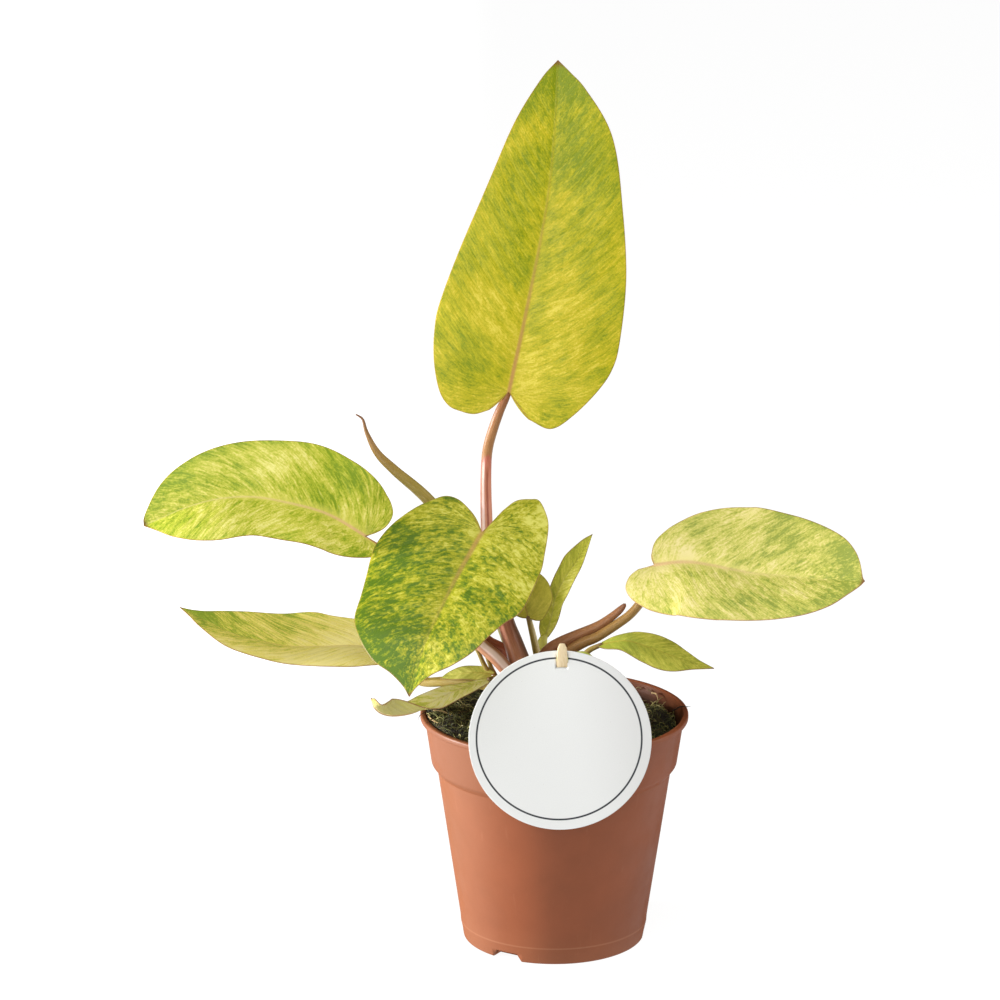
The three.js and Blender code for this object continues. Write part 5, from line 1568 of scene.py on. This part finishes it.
def buildLeaves():
    for name, leaf in leaves.items():
        piece = bladePiece(f"{name}_blade", leaf)
        gloss = blade["gloss"]
        normal = bladeNormalMap(leaf)
        upper = finishOf(f"{name}Upper", upperColour(leaf), upperRough, normal, Specular_IOR_Level=gloss)
        lower = finishOf(f"{name}Under", underColour(leaf), 0.6, normal, Specular_IOR_Level=gloss)
        margin = finishOf(f"{name}Margin", marginColour(leaf), 0.5)
        for finish in (upper, lower, margin):
            piece.data.materials.append(finish)
        dress(piece, leaf["finish"], name)


# Card and stick

card = {
    "radius": 39.8,
    "thickness": 0.8,
    "centre": (1.8, 111.6),  # across, up
    "lean": 6.0,
    "ring": 35.9,
    "ringCentre": (-0.4, 0.68),
    "ringWidth": 0.5,
    "edge": 0.15,
    "gap": 0.3,  # to the rim that it leans on
    "touchBelow": 1,  # the rim's top
    "slotGap": 0.18,
    "sides": 160,
    "paper": ("d2d3d1", "d8d9d7"),
    "shade": "bbbab8",
    # the painted shade towards the card's right
    "speck": "a9a49c",
    "ink": "1e2027",
}
stick = {
    "width": 4.7,
    "depth": 2.0,
    "bottom": 60.0,
    "slotHeight": 146.0,
    "top": 155.2,
    "x": 2.6,
    "lean": 16.0,
    "point": 7.0,
    "soften": 0.35,
}


def cardDepth(height):
    # how far back the card's middle lies at a height
    touch = -pot["rimRadius"] - card["gap"] - card["thickness"] / 2
    return touch + (height - pot["height"] + card["touchBelow"]) * math.tan(math.radians(card["lean"]))


def stickPrism(name, grow, soften):
    # the stick with its tapered top, or with `grow` the tool that cuts its slot
    half = stick["width"] / 2 + grow
    length = (stick["top"] - stick["bottom"]) / math.cos(math.radians(stick["lean"]))
    tip = stick["point"]
    outline = [(-half, -grow), (half, -grow)]
    outline += [(half, length - tip), (half * 0.82, length - tip * 0.3), (half * 0.45, length + grow)]
    outline += [(-half * 0.45, length + grow), (-half * 0.82, length - tip * 0.3), (-half, length - tip)]
    deep = stick["depth"] / 2 + grow
    flat = np.array([(x, y, z) for y in (-deep, deep) for x, z in outline])
    if soften:
        thin = np.clip((flat[:, 2] - (length - tip)) / tip, 0, 1)
        flat[:, 1] *= 1 - 0.35 * thin
    flat[:, 2] -= length
    lean = math.radians(stick["lean"])
    y = flat[:, 1] * math.cos(lean) - flat[:, 2] * math.sin(lean)
    z = flat[:, 1] * math.sin(lean) + flat[:, 2] * math.cos(lean)
    drop = (stick["top"] - stick["slotHeight"]) * math.tan(lean)
    middle = cardDepth(stick["slotHeight"])
    points = np.column_stack([flat[:, 0] + stick["x"], y + middle - drop, z + stick["top"]])
    n = len(outline)
    faces = [tuple(range(n)), tuple(reversed(range(n, 2 * n)))]
    faces += [(k, k + n, (k + 1) % n + n, (k + 1) % n) for k in range(n)]
    wood = np.column_stack([flat[:, 0], flat[:, 2] + length]) / mapSize
    piece = meshPiece(name, points, faces, {"wood": wood})
    if soften:
        bevel = piece.modifiers.new("soften", "BEVEL")
        bevel.width = soften * mm
        bevel.segments = 3
        bevel.limit_method = "NONE"
        applyModifiers(piece)
    return piece


def cardColour(tree):
    where = uvMap(tree, "plane")
    x, y, _ = split(tree, where)
    fibre = speckle(tree, where, 260, 4, 0.6)
    paper = ramp(tree, fibre, list(zip((0.3, 0.7), card["paper"])))
    # painted shade: the card darker towards the right and a little up
    aside = plus(tree, times(tree, x, 0.95), times(tree, y, 0.2))
    paper = blend(tree, fade(tree, aside, 0.02, 0.42, 0, 0.55), paper, card["shade"])
    specks = fade(tree, speckle(tree, where, 75, 2, 0.5), 0.745, 0.76, 0, 0.35)
    paper = blend(tree, specks, paper, card["speck"])
    across, up = card["ringCentre"]
    reach = distance(tree, where, (across / mapSize, up / mapSize, 0))
    width = card["ringWidth"] / mapSize
    line = fade(tree, apart(tree, reach, card["ring"] / mapSize), width * 1.05, width * 0.55)
    worn = fade(tree, speckle(tree, where, 26, 6, 0.75), 0.27, 0.33)
    return blend(tree, times(tree, line, worn), paper, card["ink"])


def cardNormal(tree):
    return relief(tree, speckle(tree, uvMap(tree, "plane"), 300, 3, 0.6), 0.03, 0.5)


def woodColour(tree):
    x, y, _ = split(tree, uvMap(tree, "wood"))
    grain = joinXyz(tree, times(tree, x, 400), times(tree, y, 22), 0.0)
    rings = speckle(tree, grain, 1.0, 5, 0.6, 0.6)
    return ramp(tree, rings, [(0.3, "c4aa80"), (0.5, "d6c19a"), (0.7, "e2d1ae")])


def woodNormal(tree):
    x, y, _ = split(tree, uvMap(tree, "wood"))
    grain = joinXyz(tree, times(tree, x, 700), times(tree, y, 40), 0.0)
    return relief(tree, speckle(tree, grain, 1.0, 4, 0.6), 0.25, 0.8)


def buildCard():
    radius, thick, edge = card["radius"], card["thickness"], card["edge"]
    profile = roundedLine([(0, -thick / 2, 0), (radius, -thick / 2, edge), (radius, thick / 2, edge),
                           (0, thick / 2, 0)], every=4.0, steps=3)
    points, faces = spun(profile, card["sides"])
    plane = points[:, :2] / mapSize
    tilt = math.radians(90 - card["lean"])
    x = points[:, 0] + card["centre"][0]
    y = cardDepth(card["centre"][1]) + points[:, 1] * math.cos(tilt) - points[:, 2] * math.sin(tilt)
    z = card["centre"][1] + points[:, 1] * math.sin(tilt) + points[:, 2] * math.cos(tilt)
    board = meshPiece("round_card", np.column_stack([x, y, z]), faces, {"plane": plane})
    cut(board, stickPrism("slot_tool", card["slotGap"], 0))
    wear(board, finishOf("whiteCard", cardColour, 0.55, cardNormal))
    dress(board, "white_card", "card")
    peg = stickPrism("card_stick_peg", 0, stick["soften"])
    wear(peg, finishOf("paleWood", woodColour, 0.7, woodNormal))
    dress(peg, "pale_wood", "card_stick")


buildCamera()
buildLights()
buildFloor()
print("studio ready")
buildPot()
print("pot ready")
buildSoil()
buildMoss()
buildFibres()
print("soil and moss ready")
buildStem()
buildStalks()
print("stem and stalks ready")
buildLeaves()
print("leaves ready")
buildCard()
print("card ready")
